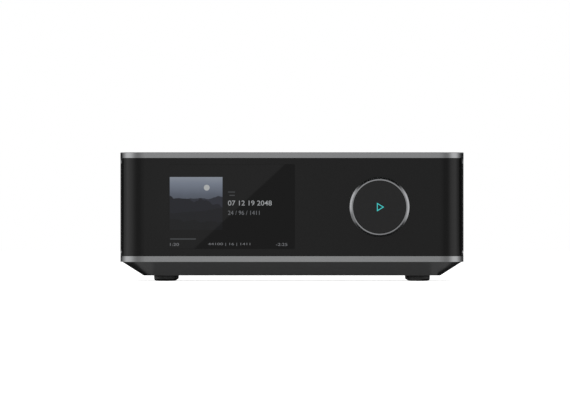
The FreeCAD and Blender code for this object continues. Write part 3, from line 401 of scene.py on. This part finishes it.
pictureLook = {"left": -71.15 * mm, "low": 29.9 * mm, "size": 30.75 * mm,
               "unlit": tone(3), "roughness": 0.01, "uneven": 0.005, "specular": 0.22, "strength": 1.0,
               "cloud": 8 * mm, "cloudShade": 0.12, "ridgeShift": 0.013,
               "sky": [(0.0, tone(64, 68, 76)), (0.35, tone(82, 88, 100)), (0.75, tone(108, 115, 128)),
                       (1.0, tone(126, 132, 142))],
               "ridges": [
                   {"height": 0.60, "slope": 0.05, "swing": 0.2, "size": 9 * mm, "color": tone(36, 38, 47)},
                   {"height": 0.56, "slope": -0.16, "swing": 0.36, "size": 6 * mm, "color": tone(21, 22, 29)},
                   {"height": 0.36, "slope": 0.10, "swing": 0.2, "size": 10 * mm, "color": tone(15, 16, 21)},
                   {"height": 0.17, "slope": -0.06, "swing": 0.2, "size": 5 * mm, "color": tone(8, 9, 12)},
               ],
               "disc": {"across": 0.70, "up": 0.80, "radius": 0.055, "color": tone(164, 166, 166)}}


def pictureFinish(name, look):  # a made-up view of hills and a low sun, shown by the screen
    material, place = startFinish(name)
    x, y, z = axes(place)
    across = (x - look["left"]) / look["size"]
    up = (z - look["low"]) / look["size"]
    clouds = grain(place, look["cloud"], detail=3.0)
    shade = up.node("ShaderNodeValToRGB", {"stops": look["sky"]},
                    {0: (up - 0.5) * 2 + (clouds - 0.5) * look["cloudShade"]})
    disc = look["disc"]
    away = ((across - disc["across"]) ** 2 + (up - disc["up"]) ** 2).alone("SQRT")
    shade = blendColors(away < disc["radius"], shade, disc["color"])
    for number, ridge in enumerate(look["ridges"]):
        flat = place.node("ShaderNodeCombineXYZ", {}, {0: x, 1: look["ridgeShift"] * number})
        jagged = grain(flat, ridge["size"], detail=4.0)
        top = ridge["height"] + (across - 0.5) * ridge["slope"] + (jagged - 0.5) * ridge["swing"]
        shade = blendColors(up < top, shade, ridge["color"])
    closeFinish(place, {
        "Base Color": look["unlit"],
        "Roughness": look["roughness"] + clouds * look["uneven"],
        "Specular IOR Level": look["specular"],
        "Emission Color": shade,
        "Emission Strength": look["strength"],
    })
    return material


finishes["pictureLight"] = pictureFinish("pictureLight", pictureLook)
print("finishes made,", len(finishes))

nodeFinishes = {
    "case_shell": "caseMetal", "front_fascia": "fasciaGlass", "front_frame": "innerMoulding",
    "base_tray": "basePaint", "foot_pads": "footRubber", "case_screws": "blackOxide",
    "rear_panel": "rearMoulding", "volume_ring": "turnedMetal", "encoder_wheel": "steelSheet",
    "play_button": "buttonFace", "play_sign": "signLight", "button_clip": "steelSheet",
    "switch_plunger": "innerMoulding", "knob_bearing": "innerMoulding", "encoder_sensor": "innerMoulding",
    "push_switch": "steelSheet", "knob_board": "boardMask", "display_panel": "screenGlass",
    "display_bracket": "steelSheet", "front_screws": "blackOxide", "post_bases": "socketMoulding",
    "post_stems": "goldPlate", "speaker_tabs": "goldPlate", "phono_jacks": "goldPlate",
    "jack_collars": "blackCollar", "trigger_jack": "tinPlate", "optical_socket": "socketMoulding",
    "optical_shutter": "greyMoulding", "hdmi_socket": "tinPlate", "usb_socket": "tinPlate",
    "network_socket": "tinPlate", "mains_inlet": "socketMoulding", "mains_pins": "steelSheet",
    "setup_button": "greyMoulding", "amp_board": "boardMask", "supply_board": "boardMask",
    "main_board": "boardMask", "board_pillars": "goldPlate", "board_screws": "blackOxide",
    "insulation_sheet": "amberFilm", "amp_heatsink": "bareSink", "output_coils": "copperWinding",
    "amp_capacitors": "canSleeve", "supply_transformer": "windingTape", "bulk_capacitors": "canSleeve",
    "radio_shield": "tinPlate", "processor_spreader": "bareSink", "supply_harness": "wireCover",
    "wifi_antennas": "antennaLaminate", "display_ribbon": "ribbonFilm", "knob_ribbon": "ribbonFilm",
}
postCaps = {"right_minus": "blackCap", "right_plus": "redCap",
            "left_minus": "blackCap", "left_plus": "redCap"}
for post, capFinish in postCaps.items():
    nodeFinishes["washer_" + post] = "goldPlate"
    nodeFinishes["cap_" + post] = capFinish
for node, piece in frame["nodes"].items():
    piece.data.materials.clear()
    piece.data.materials.append(finishes[nodeFinishes[node]])


# Pieces

def addMesh(name, mesh):
    piece = bpy.data.objects.new(name, mesh)
    bpy.context.scene.collection.objects.link(piece)
    return piece


def meshFrom(name, points, faces, edges=()):
    mesh = bpy.data.meshes.new(name)
    mesh.from_pydata(points, edges, faces)
    mesh.update()
    return mesh


def bakedMesh(piece, name):  # the piece as its modifiers leave it
    bpy.context.view_layer.update()
    graph = bpy.context.evaluated_depsgraph_get()
    mesh = bpy.data.meshes.new_from_object(piece.evaluated_get(graph), depsgraph=graph)
    mesh.name = name
    bpy.data.objects.remove(piece)
    return mesh


def startTree(name, sizes):
    tree = bpy.data.node_groups.new(name, "GeometryNodeTree")
    tree.interface.new_socket("Geometry", in_out="INPUT", socket_type="NodeSocketGeometry")
    tree.interface.new_socket("Geometry", in_out="OUTPUT", socket_type="NodeSocketGeometry")
    for label, value in sizes.items():
        kind = {int: "NodeSocketInt", float: "NodeSocketFloat", tuple: "NodeSocketVector"}[type(value)]
        tree.interface.new_socket(label, in_out="INPUT", socket_type=kind).default_value = value
    return tree, Field(tree).node("NodeGroupInput")


def closeTree(shape, finish):
    solid = shape.node("GeometryNodeRealizeInstances", {}, {0: shape})
    dressed = solid.node("GeometryNodeSetMaterial", {}, {"Geometry": solid, "Material": finish})
    dressed.node("NodeGroupOutput", {}, {0: dressed})


def grownPiece(name, tree, start, sizes):
    maker = addMesh(name + "Maker", start)
    growth = maker.modifiers.new("growth", "NODES")
    growth.node_group = tree
    for item in tree.interface.items_tree:
        if item.in_out == "INPUT" and item.name in sizes:
            growth[item.identifier] = sizes[item.name]
    return addMesh(name, bakedMesh(maker, name))


def turnedTree(name, finish, hexed):
    # the start mesh is a closed outline, x its distance from the reach and y its depth along the axis,
    # its corners are rounded, it is swept round a circle, and copies of it stand on a grid
    tree, sizes = startTree(name, {
        "Segments": 96, "Edge Round": 0.2 * mm, "Round Steps": 3, "Reach": 10.0 * mm,
        "Columns": 1, "Rows": 1, "Width": 0.0, "Height": 0.0,
        "Turn": (0.0, 0.0, 0.0), "Centre": (0.0, 0.0, 0.0),
        "Socket Radius": 1.0 * mm, "Socket Depth": 1.0 * mm})
    rim = sizes.node("GeometryNodeMeshToCurve", {}, {0: sizes})
    rim = rim.node("GeometryNodeFilletCurve", {"mode": "POLY"},
                   {"Curve": rim, "Count": sizes.beside("Round Steps"), "Radius": sizes.beside("Edge Round"),
                    "Limit Radius": True})
    circle = rim.node("GeometryNodeCurvePrimitiveCircle", {},
                      {"Resolution": sizes.beside("Segments"), "Radius": sizes.beside("Reach")})
    circle = circle.node("GeometryNodeSetCurveNormal", {"mode": "Z_UP"}, {"Curve": circle})
    solid = circle.node("GeometryNodeCurveToMesh", {}, {"Curve": circle, "Profile Curve": rim})
    solid = solid.node("GeometryNodeMergeByDistance", {}, {"Geometry": solid, "Distance": 1e-6})
    if hexed:
        key = solid.node("GeometryNodeMeshCylinder", {}, {
            "Vertices": 6, "Radius": sizes.beside("Socket Radius"),
            "Depth": sizes.beside("Socket Depth") * 2})
        solid = solid.node("GeometryNodeMeshBoolean", {"operation": "DIFFERENCE"},
                           {"Mesh 1": solid, "Mesh 2": key})
    grid = solid.node("GeometryNodeMeshGrid", {}, {
        "Size X": sizes.beside("Width"), "Size Y": sizes.beside("Height"),
        "Vertices X": sizes.beside("Columns"), "Vertices Y": sizes.beside("Rows")})
    copies = grid.node("GeometryNodeInstanceOnPoints", {}, {"Points": grid, "Instance": solid})
    placed = copies.node("GeometryNodeTransform", {}, {
        "Geometry": copies, "Rotation": sizes.beside("Turn"), "Translation": sizes.beside("Centre")})
    closeTree(placed, finish)
    return tree


def faceOut(mesh):  # joins what meets and turns every face outwards
    shape = bmesh.new()
    shape.from_mesh(mesh)
    bmesh.ops.remove_doubles(shape, verts=shape.verts, dist=1e-7)
    bmesh.ops.recalc_face_normals(shape, faces=shape.faces)
    shape.to_mesh(mesh)
    shape.free()


def smoothRound(mesh, limit):  # soft shading over the curves, hard edges where they bend by more degrees
    mesh.polygons.foreach_set("use_smooth", [True] * len(mesh.polygons))
    mesh.set_sharp_from_angle(angle=math.radians(limit))


turns = {"front": (math.pi / 2, 0.0, 0.0), "rear": (-math.pi / 2, 0.0, 0.0), "under": (math.pi, 0.0, 0.0)}


def turnedMesh(name, look):
    # the profile holds (radius, depth) pairs in millimetres, the depth from the face inwards
    reach = 10 * mm
    points = [(radius * mm - reach, depth * mm, 0) for radius, depth in look["profile"]]
    edges = [(n, (n + 1) % len(points)) for n in range(len(points))]
    outline = meshFrom(name + "Outline", points, [], edges)
    tree = turnedTree(name + "Tree", finishes[look["finish"]], "Socket Radius" in look["sizes"])
    sizes = {"Reach": reach, "Turn": turns[look["turn"]], "Centre": look["centre"]}
    sizes.update(look["sizes"])
    piece = grownPiece(name, tree, outline, sizes)
    mesh = piece.data
    bpy.data.objects.remove(piece)
    faceOut(mesh)
    smoothRound(mesh, look.get("limit", 30))
    return mesh


def joined(name, meshes):
    shape = bmesh.new()
    whole = bpy.data.meshes.new(name)
    slots = []
    for mesh in meshes:
        first = len(shape.faces)
        shape.from_mesh(mesh)
        shape.faces.ensure_lookup_table()
        for face in shape.faces[first:]:
            material = mesh.materials[face.material_index]
            if material not in slots:
                slots.append(material)
            face.material_index = slots.index(material)
    shape.to_mesh(whole)
    shape.free()
    for material in slots:
        whole.materials.append(material)
    return whole


def settle(piece, body="chassis", finish=None, instead=()):
    if finish:
        piece.data.materials.append(finishes[finish])
    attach(piece, body)
    if instead:
        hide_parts(*instead)


# Volume ring, turned from its outline

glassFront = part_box("front_fascia")[0].y
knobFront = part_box("volume_ring")[0].y
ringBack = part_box("volume_ring")[1].y
ringSizes = {"front": 16.25, "base": 17.4, "bore": 15.4, "edge": 0.1, "rim": 13.8, "chamfer": 0.08,
             "webFront": 2.7, "webBack": 4.9, "skirtTop": 5.8, "skirtEdge": 6.8, "rimBack": 7.1,
             "sleeveOuter": 11.02, "sleeveInner": 9.02}


def ringOutline(sizes, length):
    return [
        (sizes["sleeveInner"], sizes["webFront"]), (sizes["bore"], sizes["webFront"]),
        (sizes["bore"], 0.0), (sizes["bore"] + sizes["edge"], 0.0), (sizes["front"], sizes["chamfer"]),
        (sizes["front"], sizes["skirtTop"]), (sizes["base"], sizes["skirtEdge"]),
        (sizes["base"], sizes["rimBack"]), (sizes["rim"], sizes["rimBack"]),
        (sizes["rim"], sizes["webBack"]), (sizes["sleeveOuter"], sizes["webBack"]),
        (sizes["sleeveOuter"], length), (sizes["sleeveInner"], length),
    ]


ringLook = {"profile": ringOutline(ringSizes, (ringBack - knobFront) / mm), "turn": "front",
            "centre": (knobPlace["x"], knobFront, knobPlace["z"]), "finish": "turnedMetal", "limit": 8,
            "sizes": {"Edge Round": 0.05 * mm, "Segments": 160}}
ringMesh = turnedMesh("volumeRing", ringLook)
settle(addMesh("volumeRing", ringMesh), "volume", instead=["volume_ring"])

# Display

layer = 0.015  # millimetres that a lit mark stands off the cover
markRim = 0.004  # millimetres of chamfer round a mark
letterDepth = 0.01  # half the thickness of a letter
cornerSteps = 6
screen = {"left": -72.1, "right": 1.75, "low": 18.8, "high": 68.2, "corner": 0.8, "rim": 0.02,
          "proud": 0.03, "back": -0.01}
picture = {"left": -71.15, "right": -40.45, "low": 29.9, "high": 60.7, "corner": 0.15, "rim": markRim,
           "proud": 0.045, "back": -0.03}


def plateMesh(name, sizes):  # a thin plate with rounded corners and a chamfered rim
    corner = sizes["corner"]
    left, right = sizes["left"] + corner, sizes["right"] - corner
    low, high = sizes["low"] + corner, sizes["high"] - corner
    loops = []
    front = -sizes["proud"]
    for inset, depth in ((0, sizes["back"]), (0, front + sizes["rim"]), (sizes["rim"], front)):
        radius = corner - inset
        loop = []
        for x, z, start in ((right, high, 0), (left, high, 90), (left, low, 180), (right, low, 270)):
            for step in range(cornerSteps + 1):
                angle = math.radians(start + 90 / cornerSteps * step)
                loop.append(Vector(((x + radius * math.cos(angle)) * mm, glassFront + depth * mm,
                                    (z + radius * math.sin(angle)) * mm)))
        loops.append(loop)
    count = len(loops[0])
    faces = [tuple(range(count)), tuple(range(2 * count, 3 * count))]
    for ring in (0, 1):
        for step in range(count):
            after = (step + 1) % count
            faces.append((ring * count + step, ring * count + after,
                          (ring + 1) * count + after, (ring + 1) * count + step))
    mesh = meshFrom(name, [point for loop in loops for point in loop], faces)
    faceOut(mesh)
    return mesh


def wordMesh(name, look):  # stands upright on the front glass, low and height are of the figures
    letters = bpy.data.curves.new(name, "FONT")
    letters.body = look["words"]
    letters.offset = look["weight"]
    letters.extrude = letterDepth
    mesh = bakedMesh(addMesh(name + "Letters", letters), name)
    reach = [max(point.co[n] for point in mesh.vertices) for n in (0, 1)]
    start = [min(point.co[n] for point in mesh.vertices) for n in (0, 1)]
    stretch = [look["width"] / (reach[0] - start[0]), look["height"] / (reach[1] - start[1])]
    front = glassFront - (screen["proud"] + layer) * mm
    for point in mesh.vertices:
        u, v, w = point.co
        point.co = ((look["left"] + (u - start[0]) * stretch[0]) * mm, front - (w - letterDepth) * mm,
                    (look["low"] + (v - start[1]) * stretch[1]) * mm)
    faceOut(mesh)
    return mesh


wordLooks = {
    "screenTitle": {"words": "07 12 19 2048", "left": -37.25, "low": 44.1, "height": 2.9, "width": 25.5,
                    "weight": 0.004, "finish": "titleLight"},
    "screenSubtitle": {"words": "24 / 96 / 1411", "left": -37.25, "low": 38.65, "height": 2.45, "width": 18.4,
                       "weight": 0.0, "finish": "wordLight"},
    "timePlayed": {"words": "1:20", "left": -71.0, "low": 20.6, "height": 1.7, "width": 5.2,
                   "weight": 0.0, "finish": "rowLight"},
    "trackFigures": {"words": "44100 | 16 | 1411", "left": -48.9, "low": 20.6, "height": 1.8, "width": 24.6,
                     "weight": 0.0, "finish": "rowLight"},
    "timeLeft": {"words": "-2:25", "left": -9.3, "low": 20.6, "height": 1.7, "width": 6.6,
                 "weight": 0.0, "finish": "rowLight"},
}

settle(addMesh("screenCover", plateMesh("screenCover", screen)), finish="screenGlass")
settle(addMesh("screenPicture", plateMesh("screenPicture", picture)), finish="pictureLight")
for name, look in wordLooks.items():
    settle(addMesh(name, wordMesh(name, look)), finish=look["finish"])

barCorner = 0.3  # share of a bar's height
barLooks = {
    "progressLine": {"marks": [(-71.0, 24.3, 15.1, 0.66)], "finish": "barLight"},
    "levelBars": {"marks": [(-37.2, 51.7, 4.1, 0.5), (-36.4, 49.75, 3.1, 0.55)], "finish": "barLight"},
}
for name, look in barLooks.items():
    marks = []
    for left, low, width, height in look["marks"]:
        sizes = {"left": left, "right": left + width, "low": low, "high": low + height,
                 "corner": height * barCorner, "rim": markRim, "proud": screen["proud"] + layer,
                 "back": -screen["proud"]}
        marks.append(plateMesh(name, sizes))
        marks[-1].materials.append(finishes[look["finish"]])
    settle(addMesh(name, joined(name, marks)))
print("display made")

# Feet and screws, turned and set out on grids

footLook = {"profile": [(0, 0), (3.6, 0.06), (5.5, 0.24), (6.45, 0.62), (6.8, 1.3), (6.8, 3.3), (0, 3.3)],
            "turn": "under", "centre": (0.0, -5.15 * mm, 0.0), "finish": "footRubber", "limit": 40,
            "sizes": {"Edge Round": 0.1 * mm, "Segments": 72, "Columns": 2, "Rows": 2, "Width": 147.4 * mm,
                      "Height": 146.2 * mm}}
settle(addMesh("footPads", turnedMesh("footPads", footLook)), instead=["foot_pads"])


def screwOutline(shank):
    return [(0, 0), (2.35, 0), (2.7, 0.35), (2.7, 1.6), (1.5, 1.6), (1.5, 1.6 + shank), (0, 1.6 + shank)]


screwSizes = {"Edge Round": 0.12 * mm, "Segments": 36, "Columns": 2, "Rows": 2, "Socket Radius": 1.4 * mm,
              "Socket Depth": 1.0 * mm}
screwLooks = {
    "rearScrews": {"profile": screwOutline(4.2), "turn": "rear", "centre": (0.0, 96.45 * mm, 43.2 * mm),
                   "sizes": {"Width": 166.6 * mm, "Height": 33.8 * mm}},
    "baseScrews": {"profile": screwOutline(9.0), "turn": "under", "centre": (0.0, -5.15 * mm, 3.3 * mm),
                   "sizes": {"Width": 164.0 * mm, "Height": 164.0 * mm}},
}
screws = []
for name, look in screwLooks.items():
    look["sizes"].update(screwSizes)
    look["finish"] = "blackOxide"
    screws.append(turnedMesh(name, look))
settle(addMesh("caseScrews", joined("caseScrews", screws)), instead=["case_screws"])

# Coloured collars and inner rings of the phono jacks

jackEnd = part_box("phono_jacks")[1].y
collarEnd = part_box("jack_collars")[1].y
jackHeight = 52 * mm
insertProud = 0.12 * mm
jackLooks = {-72: "redCollar", -54: "whiteCollar", -36: "blackCollar"}
collars = []
inserts = []
for x, finish in jackLooks.items():
    collars.append(turnedMesh("jackCollar", {
        "profile": [(4.82, 0), (6.4, 0), (6.4, 1.4), (4.82, 1.4)], "turn": "rear", "finish": finish,
        "centre": (x * mm, collarEnd, jackHeight),
        "sizes": {"Edge Round": 0.3 * mm, "Segments": 64}}))
    inserts.append(turnedMesh("jackInsert", {
        "profile": [(1.75, 0), (3.2, 0), (3.2, 0.4), (1.75, 0.4)], "turn": "rear", "finish": finish,
        "centre": (x * mm, jackEnd + insertProud, jackHeight),
        "sizes": {"Edge Round": 0.05 * mm, "Segments": 48}}))
settle(addMesh("jackCollars", joined("jackCollars", collars)), instead=["jack_collars"])
settle(addMesh("jackInserts", joined("jackInserts", inserts)))

# Contacts in the sockets, one bent strip set out in a row


def contactTree(name, finish):
    tree, sizes = startTree(name, {
        "Count": 8, "Pitch": 1.0 * mm, "Strip Width": 0.5 * mm, "Thickness": 0.2 * mm,
        "Bend": 0.4 * mm, "Start": (0.0, 0.0, 0.0)})
    line = sizes.node("GeometryNodeMeshToCurve", {}, {0: sizes})
    line = line.node("GeometryNodeFilletCurve", {"mode": "POLY"},
                     {"Curve": line, "Count": 4, "Radius": sizes.beside("Bend"), "Limit Radius": True})
    section = line.node("GeometryNodeCurvePrimitiveQuadrilateral", {}, {
        "Width": sizes.beside("Strip Width"), "Height": sizes.beside("Thickness")})
    strip = section.node("GeometryNodeCurveToMesh", {}, {
        "Curve": line, "Profile Curve": section, "Fill Caps": True})
    way = strip.node("ShaderNodeCombineXYZ", {}, {0: sizes.beside("Pitch")})
    row = way.node("GeometryNodeMeshLine", {}, {
        "Count": sizes.beside("Count"), "Start Location": sizes.beside("Start"), "Offset": way})
    copies = row.node("GeometryNodeInstanceOnPoints", {}, {"Points": row, "Instance": strip})
    closeTree(copies, finish)
    return tree


contactLooks = {
    "networkContacts": {"line": [(93.0, 54.35), (90.6, 54.35), (83.0, 51.4)], "x": 54.0,
                        "sizes": {"Count": 8, "Pitch": 1.02 * mm, "Strip Width": 0.45 * mm}},
    "usbContacts": {"line": [(93.2, 46.42), (92.6, 46.42), (82.4, 46.42)], "x": 36.0,
                    "sizes": {"Count": 4, "Pitch": 2.3 * mm, "Strip Width": 1.1 * mm}},
    "upperVideoContacts": {"line": [(93.4, 47.56), (92.6, 47.56), (84.4, 47.56)], "x": 18.0,
                           "sizes": {"Count": 10, "Pitch": 1.0 * mm, "Strip Width": 0.45 * mm}},
    "lowerVideoContacts": {"line": [(93.4, 46.04), (92.6, 46.04), (84.4, 46.04)], "x": 18.0,
                           "sizes": {"Count": 9, "Pitch": 1.0 * mm, "Strip Width": 0.45 * mm}},
}
for name, look in contactLooks.items():
    points = [(0.0, y * mm, z * mm) for y, z in look["line"]]
    sizes = look["sizes"]
    sizes["Start"] = (look["x"] * mm - sizes["Pitch"] * (sizes["Count"] - 1) / 2, 0.0, 0.0)
    start = meshFrom(name + "Line", points, [], [(0, 1), (1, 2)])
    piece = grownPiece(name, contactTree(name + "Tree", finishes["goldPlate"]), start, sizes)
    faceOut(piece.data)
    settle(piece)

# Printed plus and minus signs over the speaker posts

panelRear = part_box("rear_panel")[1].y
signLook = {"reach": 1.3, "line": 0.5, "above": 10.9, "corner": 0.1, "bar": 0.02, "stroke": 0.022,
            "back": 0.01}
signs = []
for post in postCaps:
    low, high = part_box("cap_" + post)
    x = (low.x + high.x) / 2 / mm
    z = (low.z + high.z) / 2 / mm + signLook["above"]
    for across, up in ((signLook["reach"], signLook["line"] / 2), (signLook["line"] / 2, signLook["reach"])):
        if across > up or post.endswith("plus"):
            sizes = {"left": x - across, "right": x + across, "low": z - up, "high": z + up,
                     "corner": signLook["corner"], "rim": markRim, "back": signLook["back"],
                     "proud": signLook["bar"] if across > up else signLook["stroke"]}
            mark = plateMesh("postSign", sizes)
            mark.transform(Matrix.Diagonal((1, -1, 1, 1)))  # from the front glass to the rear panel
            mark.transform(Matrix.Translation((0, glassFront + panelRear, 0)))
            faceOut(mark)
            mark.materials.append(finishes["whiteInk"])
            signs.append(mark)
settle(addMesh("postSigns", joined("postSigns", signs)))
print("rear pieces made")

# Floor, backdrop and light

studio = {"floorSize": 14.0, "floor": tone(236), "floorGlow": 0.8, "skyLight": 0.62,
          "keyPower": 30.0, "keySize": 1.6, "keyPlace": (-0.7, -1.1, 2.2), "keyAim": (0, 0, 0.05),
          "tentRadius": 5.0, "tentSteps": 180, "tentRows": 16, "tentLift": 0.0003, "tableTop": 0.001,
          "tentGlow": 1.3,
          # pairs of degrees from the front and brightness, then turns as shares of half a circle
          "tentRight": [(0, 0.65), (8, 0.65), (24, 0.42), (40, 0.42), (48, 0.6), (53, 0.8), (58, 1.0),
                        (64, 1.15), (72, 1.2), (86, 1.16), (99, 0.56), (109, 0.3), (117, 0.18),
                        (121, 0.03), (180, 0.008)],
          "tentLeft": [(0, 0.65), (8, 0.65), (24, 0.42), (38, 0.42), (48, 0.58), (53, 0.7), (58, 0.86),
                       (64, 1.02), (72, 1.15), (80, 1.24), (95, 1.18), (108, 0.62), (119, 0.4),
                       (129, 0.19), (133, 0.03), (180, 0.008)],
          "tentRear": 0.6, "rearTurn": 0.56, "rearStart": 14.0, "tableTurn": 0.5, "tableReach": 0.45,
          "flagGlow": 0.01, "flagStart": 27.0, "flagFull": 47.0, "flagDepth": (0.02, 0.42),
          "underGlow": 0.36, "cornerGlow": 0.54, "cornerStart": 0.081,
          "shadeGlow": 0.02, "shadeReach": 0.112, "leftShade": 0.0033, "shadeLine": (-0.0594, 0.336),
          "shadeSide": 0.0855, "shadeFront": 0.0918,
          "stripMiddle": 0.051, "stripReach": 0.092, "stripFade": 0.035,
          "stripNear": 0.1045, "stripFar": 0.12,
          "cardDepth": -1.405, "cardGlow": 0.39,
          "cardCorners": [(-0.0810, 0.0159), (-0.0642, 0.0159), (-0.0040, 0.0717), (-0.0810, 0.0717)]}


def whiteForSight(start):  # 1 for rays that look or mirror, 0 for those that light
    path = start.node("ShaderNodeLightPath", output="Is Camera Ray")
    mirrored = path.maths("MAXIMUM", path, path.beside("Is Glossy Ray"))
    return mirrored.maths("MAXIMUM", mirrored, path.beside("Is Transmission Ray"))


world = bpy.data.worlds.new("studioWorld")
world.use_nodes = True
world.node_tree.nodes.clear()
sky = Field(world.node_tree)
sight = whiteForSight(sky)
backdrop = sky.node("ShaderNodeBackground", {}, {
    "Color": (1.0, 1.0, 1.0, 1.0),
    "Strength": sight * (1 - studio["skyLight"]) + studio["skyLight"],
})
sky.node("ShaderNodeOutputWorld", {}, {"Surface": backdrop})
bpy.context.scene.world = world

floorMaterial, ground = bareMaterial("studioFloor")
sight = whiteForSight(ground)
matt = ground.node("ShaderNodeBsdfDiffuse", {}, {"Color": studio["floor"]})
glow = ground.node("ShaderNodeEmission", {}, {"Strength": sight * studio["floorGlow"]})
both = ground.node("ShaderNodeAddShader", {}, {0: matt, 1: glow})
ground.node("ShaderNodeOutputMaterial", {}, {"Surface": both})

half = studio["floorSize"] / 2
floor = addMesh("studioFloor", meshFrom(
    "studioFloor", [(-half, -half, 0), (half, -half, 0), (half, half, 0), (-half, half, 0)], [(0, 1, 2, 3)]))
floor.data.materials.append(floorMaterial)


def mirroredOnly(panel):  # seen in metal and glass alone
    panel.visible_camera = False
    panel.visible_diffuse = False
    panel.visible_transmission = False
    panel.visible_volume_scatter = False
    panel.visible_shadow = False


def tentMesh(radius, lift, steps, rows):  # a half ball over a flat sheet that lies just above the floor
    points = [(0, 0, lift)]
    for row in range(rows):
        tilt = math.pi / 2 * row / rows
        reach = radius * math.cos(tilt)
        for step in range(steps):
            angle = 2 * math.pi * step / steps
            points.append((reach * math.sin(angle), -reach * math.cos(angle), radius * math.sin(tilt) + lift))
    points.append((0, 0, radius))
    faces = [(0, 1 + (n + 1) % steps, 1 + n) for n in range(steps)]
    for row in range(rows - 1):
        first = 1 + row * steps
        faces += [(first + n, first + (n + 1) % steps, first + steps + (n + 1) % steps, first + steps + n)
                  for n in range(steps)]
    faces += [(1 + (rows - 1) * steps + n, 1 + (rows - 1) * steps + (n + 1) % steps, len(points) - 1)
              for n in range(steps)]
    return meshFrom("reflectionTent", points, faces)


# A tent of panels, as round a table in a photo studio, brighter or darker by the angle from the front

tentMaterial, start = bareMaterial("reflectionTent")
x, y, z = axes(start.node("ShaderNodeTexCoord", output="Object"))
side = x.alone("ABSOLUTE")
angle = side.maths("ARCTAN2", side, 0 - y) / math.pi
sides = []
for name in ("tentRight", "tentLeft"):
    stops = [(degrees / 180, (glow / studio["tentGlow"],) * 3 + (1.0,)) for degrees, glow in studio[name]]
    sides.append(angle.node("ShaderNodeValToRGB", {"stops": stops}, {0: angle}))
panels = blendColors(x < 0, *sides)
reach = (x ** 2 + y ** 2).alone("SQRT")
tilt = z.maths("ARCTAN2", z, reach) * (180 / math.pi)


def tentGrey(name):
    return (studio[name] / studio["tentGlow"],) * 3 + (1.0,)


# bright again above the dark wall at the back, and on the table round the object
behind = (tilt > studio["rearStart"]) * (angle > studio["rearTurn"])
panels = blendColors(behind, panels, tentGrey("tentRear"))
flat = z < studio["tableTop"]
table = flat * (reach < studio["tableReach"]) * (angle > studio["tableTurn"])
panels = blendColors(table, panels, tentGrey("tentRear"))
# a dark flag overhead, just in front of the object
depth = (0 - y) / studio["tentRadius"]
flag = (depth > studio["flagDepth"][0]) * (depth < studio["flagDepth"][1])
height = z.maths("ARCTAN2", z, side) * (180 / math.pi) - studio["flagStart"]
flag = flag * (height / (studio["flagFull"] - studio["flagStart"]))
panels = blendColors(flag, panels, tentGrey("flagGlow"))
# the table near the object, with the object's shadow painted on it for the reflections: dim under its front
# edge, brighter under its front corners, dark beside and under it
close = side.maths("MAXIMUM", side, y.alone("ABSOLUTE")) < studio["shadeReach"]
under = close * flat * (y > -studio["stripNear"])
panels = blendColors(under, panels, tentGrey("underGlow"))
panels = blendColors(under * (side > studio["cornerStart"]), panels, tentGrey("cornerGlow"))
shadeStart = studio["shadeLine"][0] - side * studio["shadeLine"][1] - (x < 0) * studio["leftShade"]
panels = blendColors(under * (y > shadeStart), panels, tentGrey("shadeGlow"))
corner = (side > studio["shadeSide"]) * (y > -studio["shadeFront"])
panels = blendColors(under * corner, panels, tentGrey("shadeGlow"))
# dark on the table below the knob, paler away from it
knobSide = (x - studio["stripMiddle"]).alone("ABSOLUTE")
strip = (studio["stripReach"] - knobSide) / studio["stripFade"]
strip = strip * (y < -studio["stripNear"]) * (y > -studio["stripFar"]) * flat
panels = blendColors(strip, panels, tentGrey("shadeGlow"))
panels = panels.node("ShaderNodeEmission", {}, {"Color": panels, "Strength": studio["tentGlow"]})
panels.node("ShaderNodeOutputMaterial", {}, {"Surface": panels})
tent = addMesh("reflectionTent", tentMesh(studio["tentRadius"], studio["tentLift"], studio["tentSteps"],
                                          studio["tentRows"]))
tent.data.materials.append(tentMaterial)
mirroredOnly(tent)

# A see-through card whose slanted edge crosses the screen's reflection

cardMaterial, start = bareMaterial("glareCard")
clear = start.node("ShaderNodeBsdfTransparent")
card = clear.node("ShaderNodeEmission", {}, {"Strength": studio["cardGlow"]})
card = card.node("ShaderNodeAddShader", {}, {0: clear, 1: card})
card.node("ShaderNodeOutputMaterial", {}, {"Surface": card})
corners = [(x, studio["cardDepth"], z) for x, z in studio["cardCorners"]]
glareCard = addMesh("glareCard", meshFrom("glareCard", corners, [(0, 1, 2, 3)]))
glareCard.data.materials.append(cardMaterial)
mirroredOnly(glareCard)

key = bpy.data.objects.new("keyLight", bpy.data.lights.new("keyLight", "AREA"))
bpy.context.scene.collection.objects.link(key)
key.data.size = studio["keySize"]
key.data.energy = studio["keyPower"]
key.location = studio["keyPlace"]
key.rotation_euler = (Vector(studio["keyAim"]) - key.location).to_track_quat("-Z", "Y").to_euler()
key.visible_camera = False
key.visible_glossy = False

# Camera

photoView = {"distance": 10.0, "across": -4.07 * mm, "height": 41.5 * mm, "lens": 1085.3, "sensor": 36.0,
             "near": 0.01, "far": 60.0}
camera = bpy.data.objects.new("photoCamera", bpy.data.cameras.new("photoCamera"))
bpy.context.scene.collection.objects.link(camera)
camera.data.sensor_width = photoView["sensor"]
camera.data.lens = photoView["lens"]
camera.data.clip_start = photoView["near"]
camera.data.clip_end = photoView["far"]
camera.location = (photoView["across"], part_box("case_shell")[0].y - photoView["distance"],
                   photoView["height"])
camera.rotation_euler = (math.pi / 2, 0, 0)
bpy.context.scene.camera = camera

print("done")
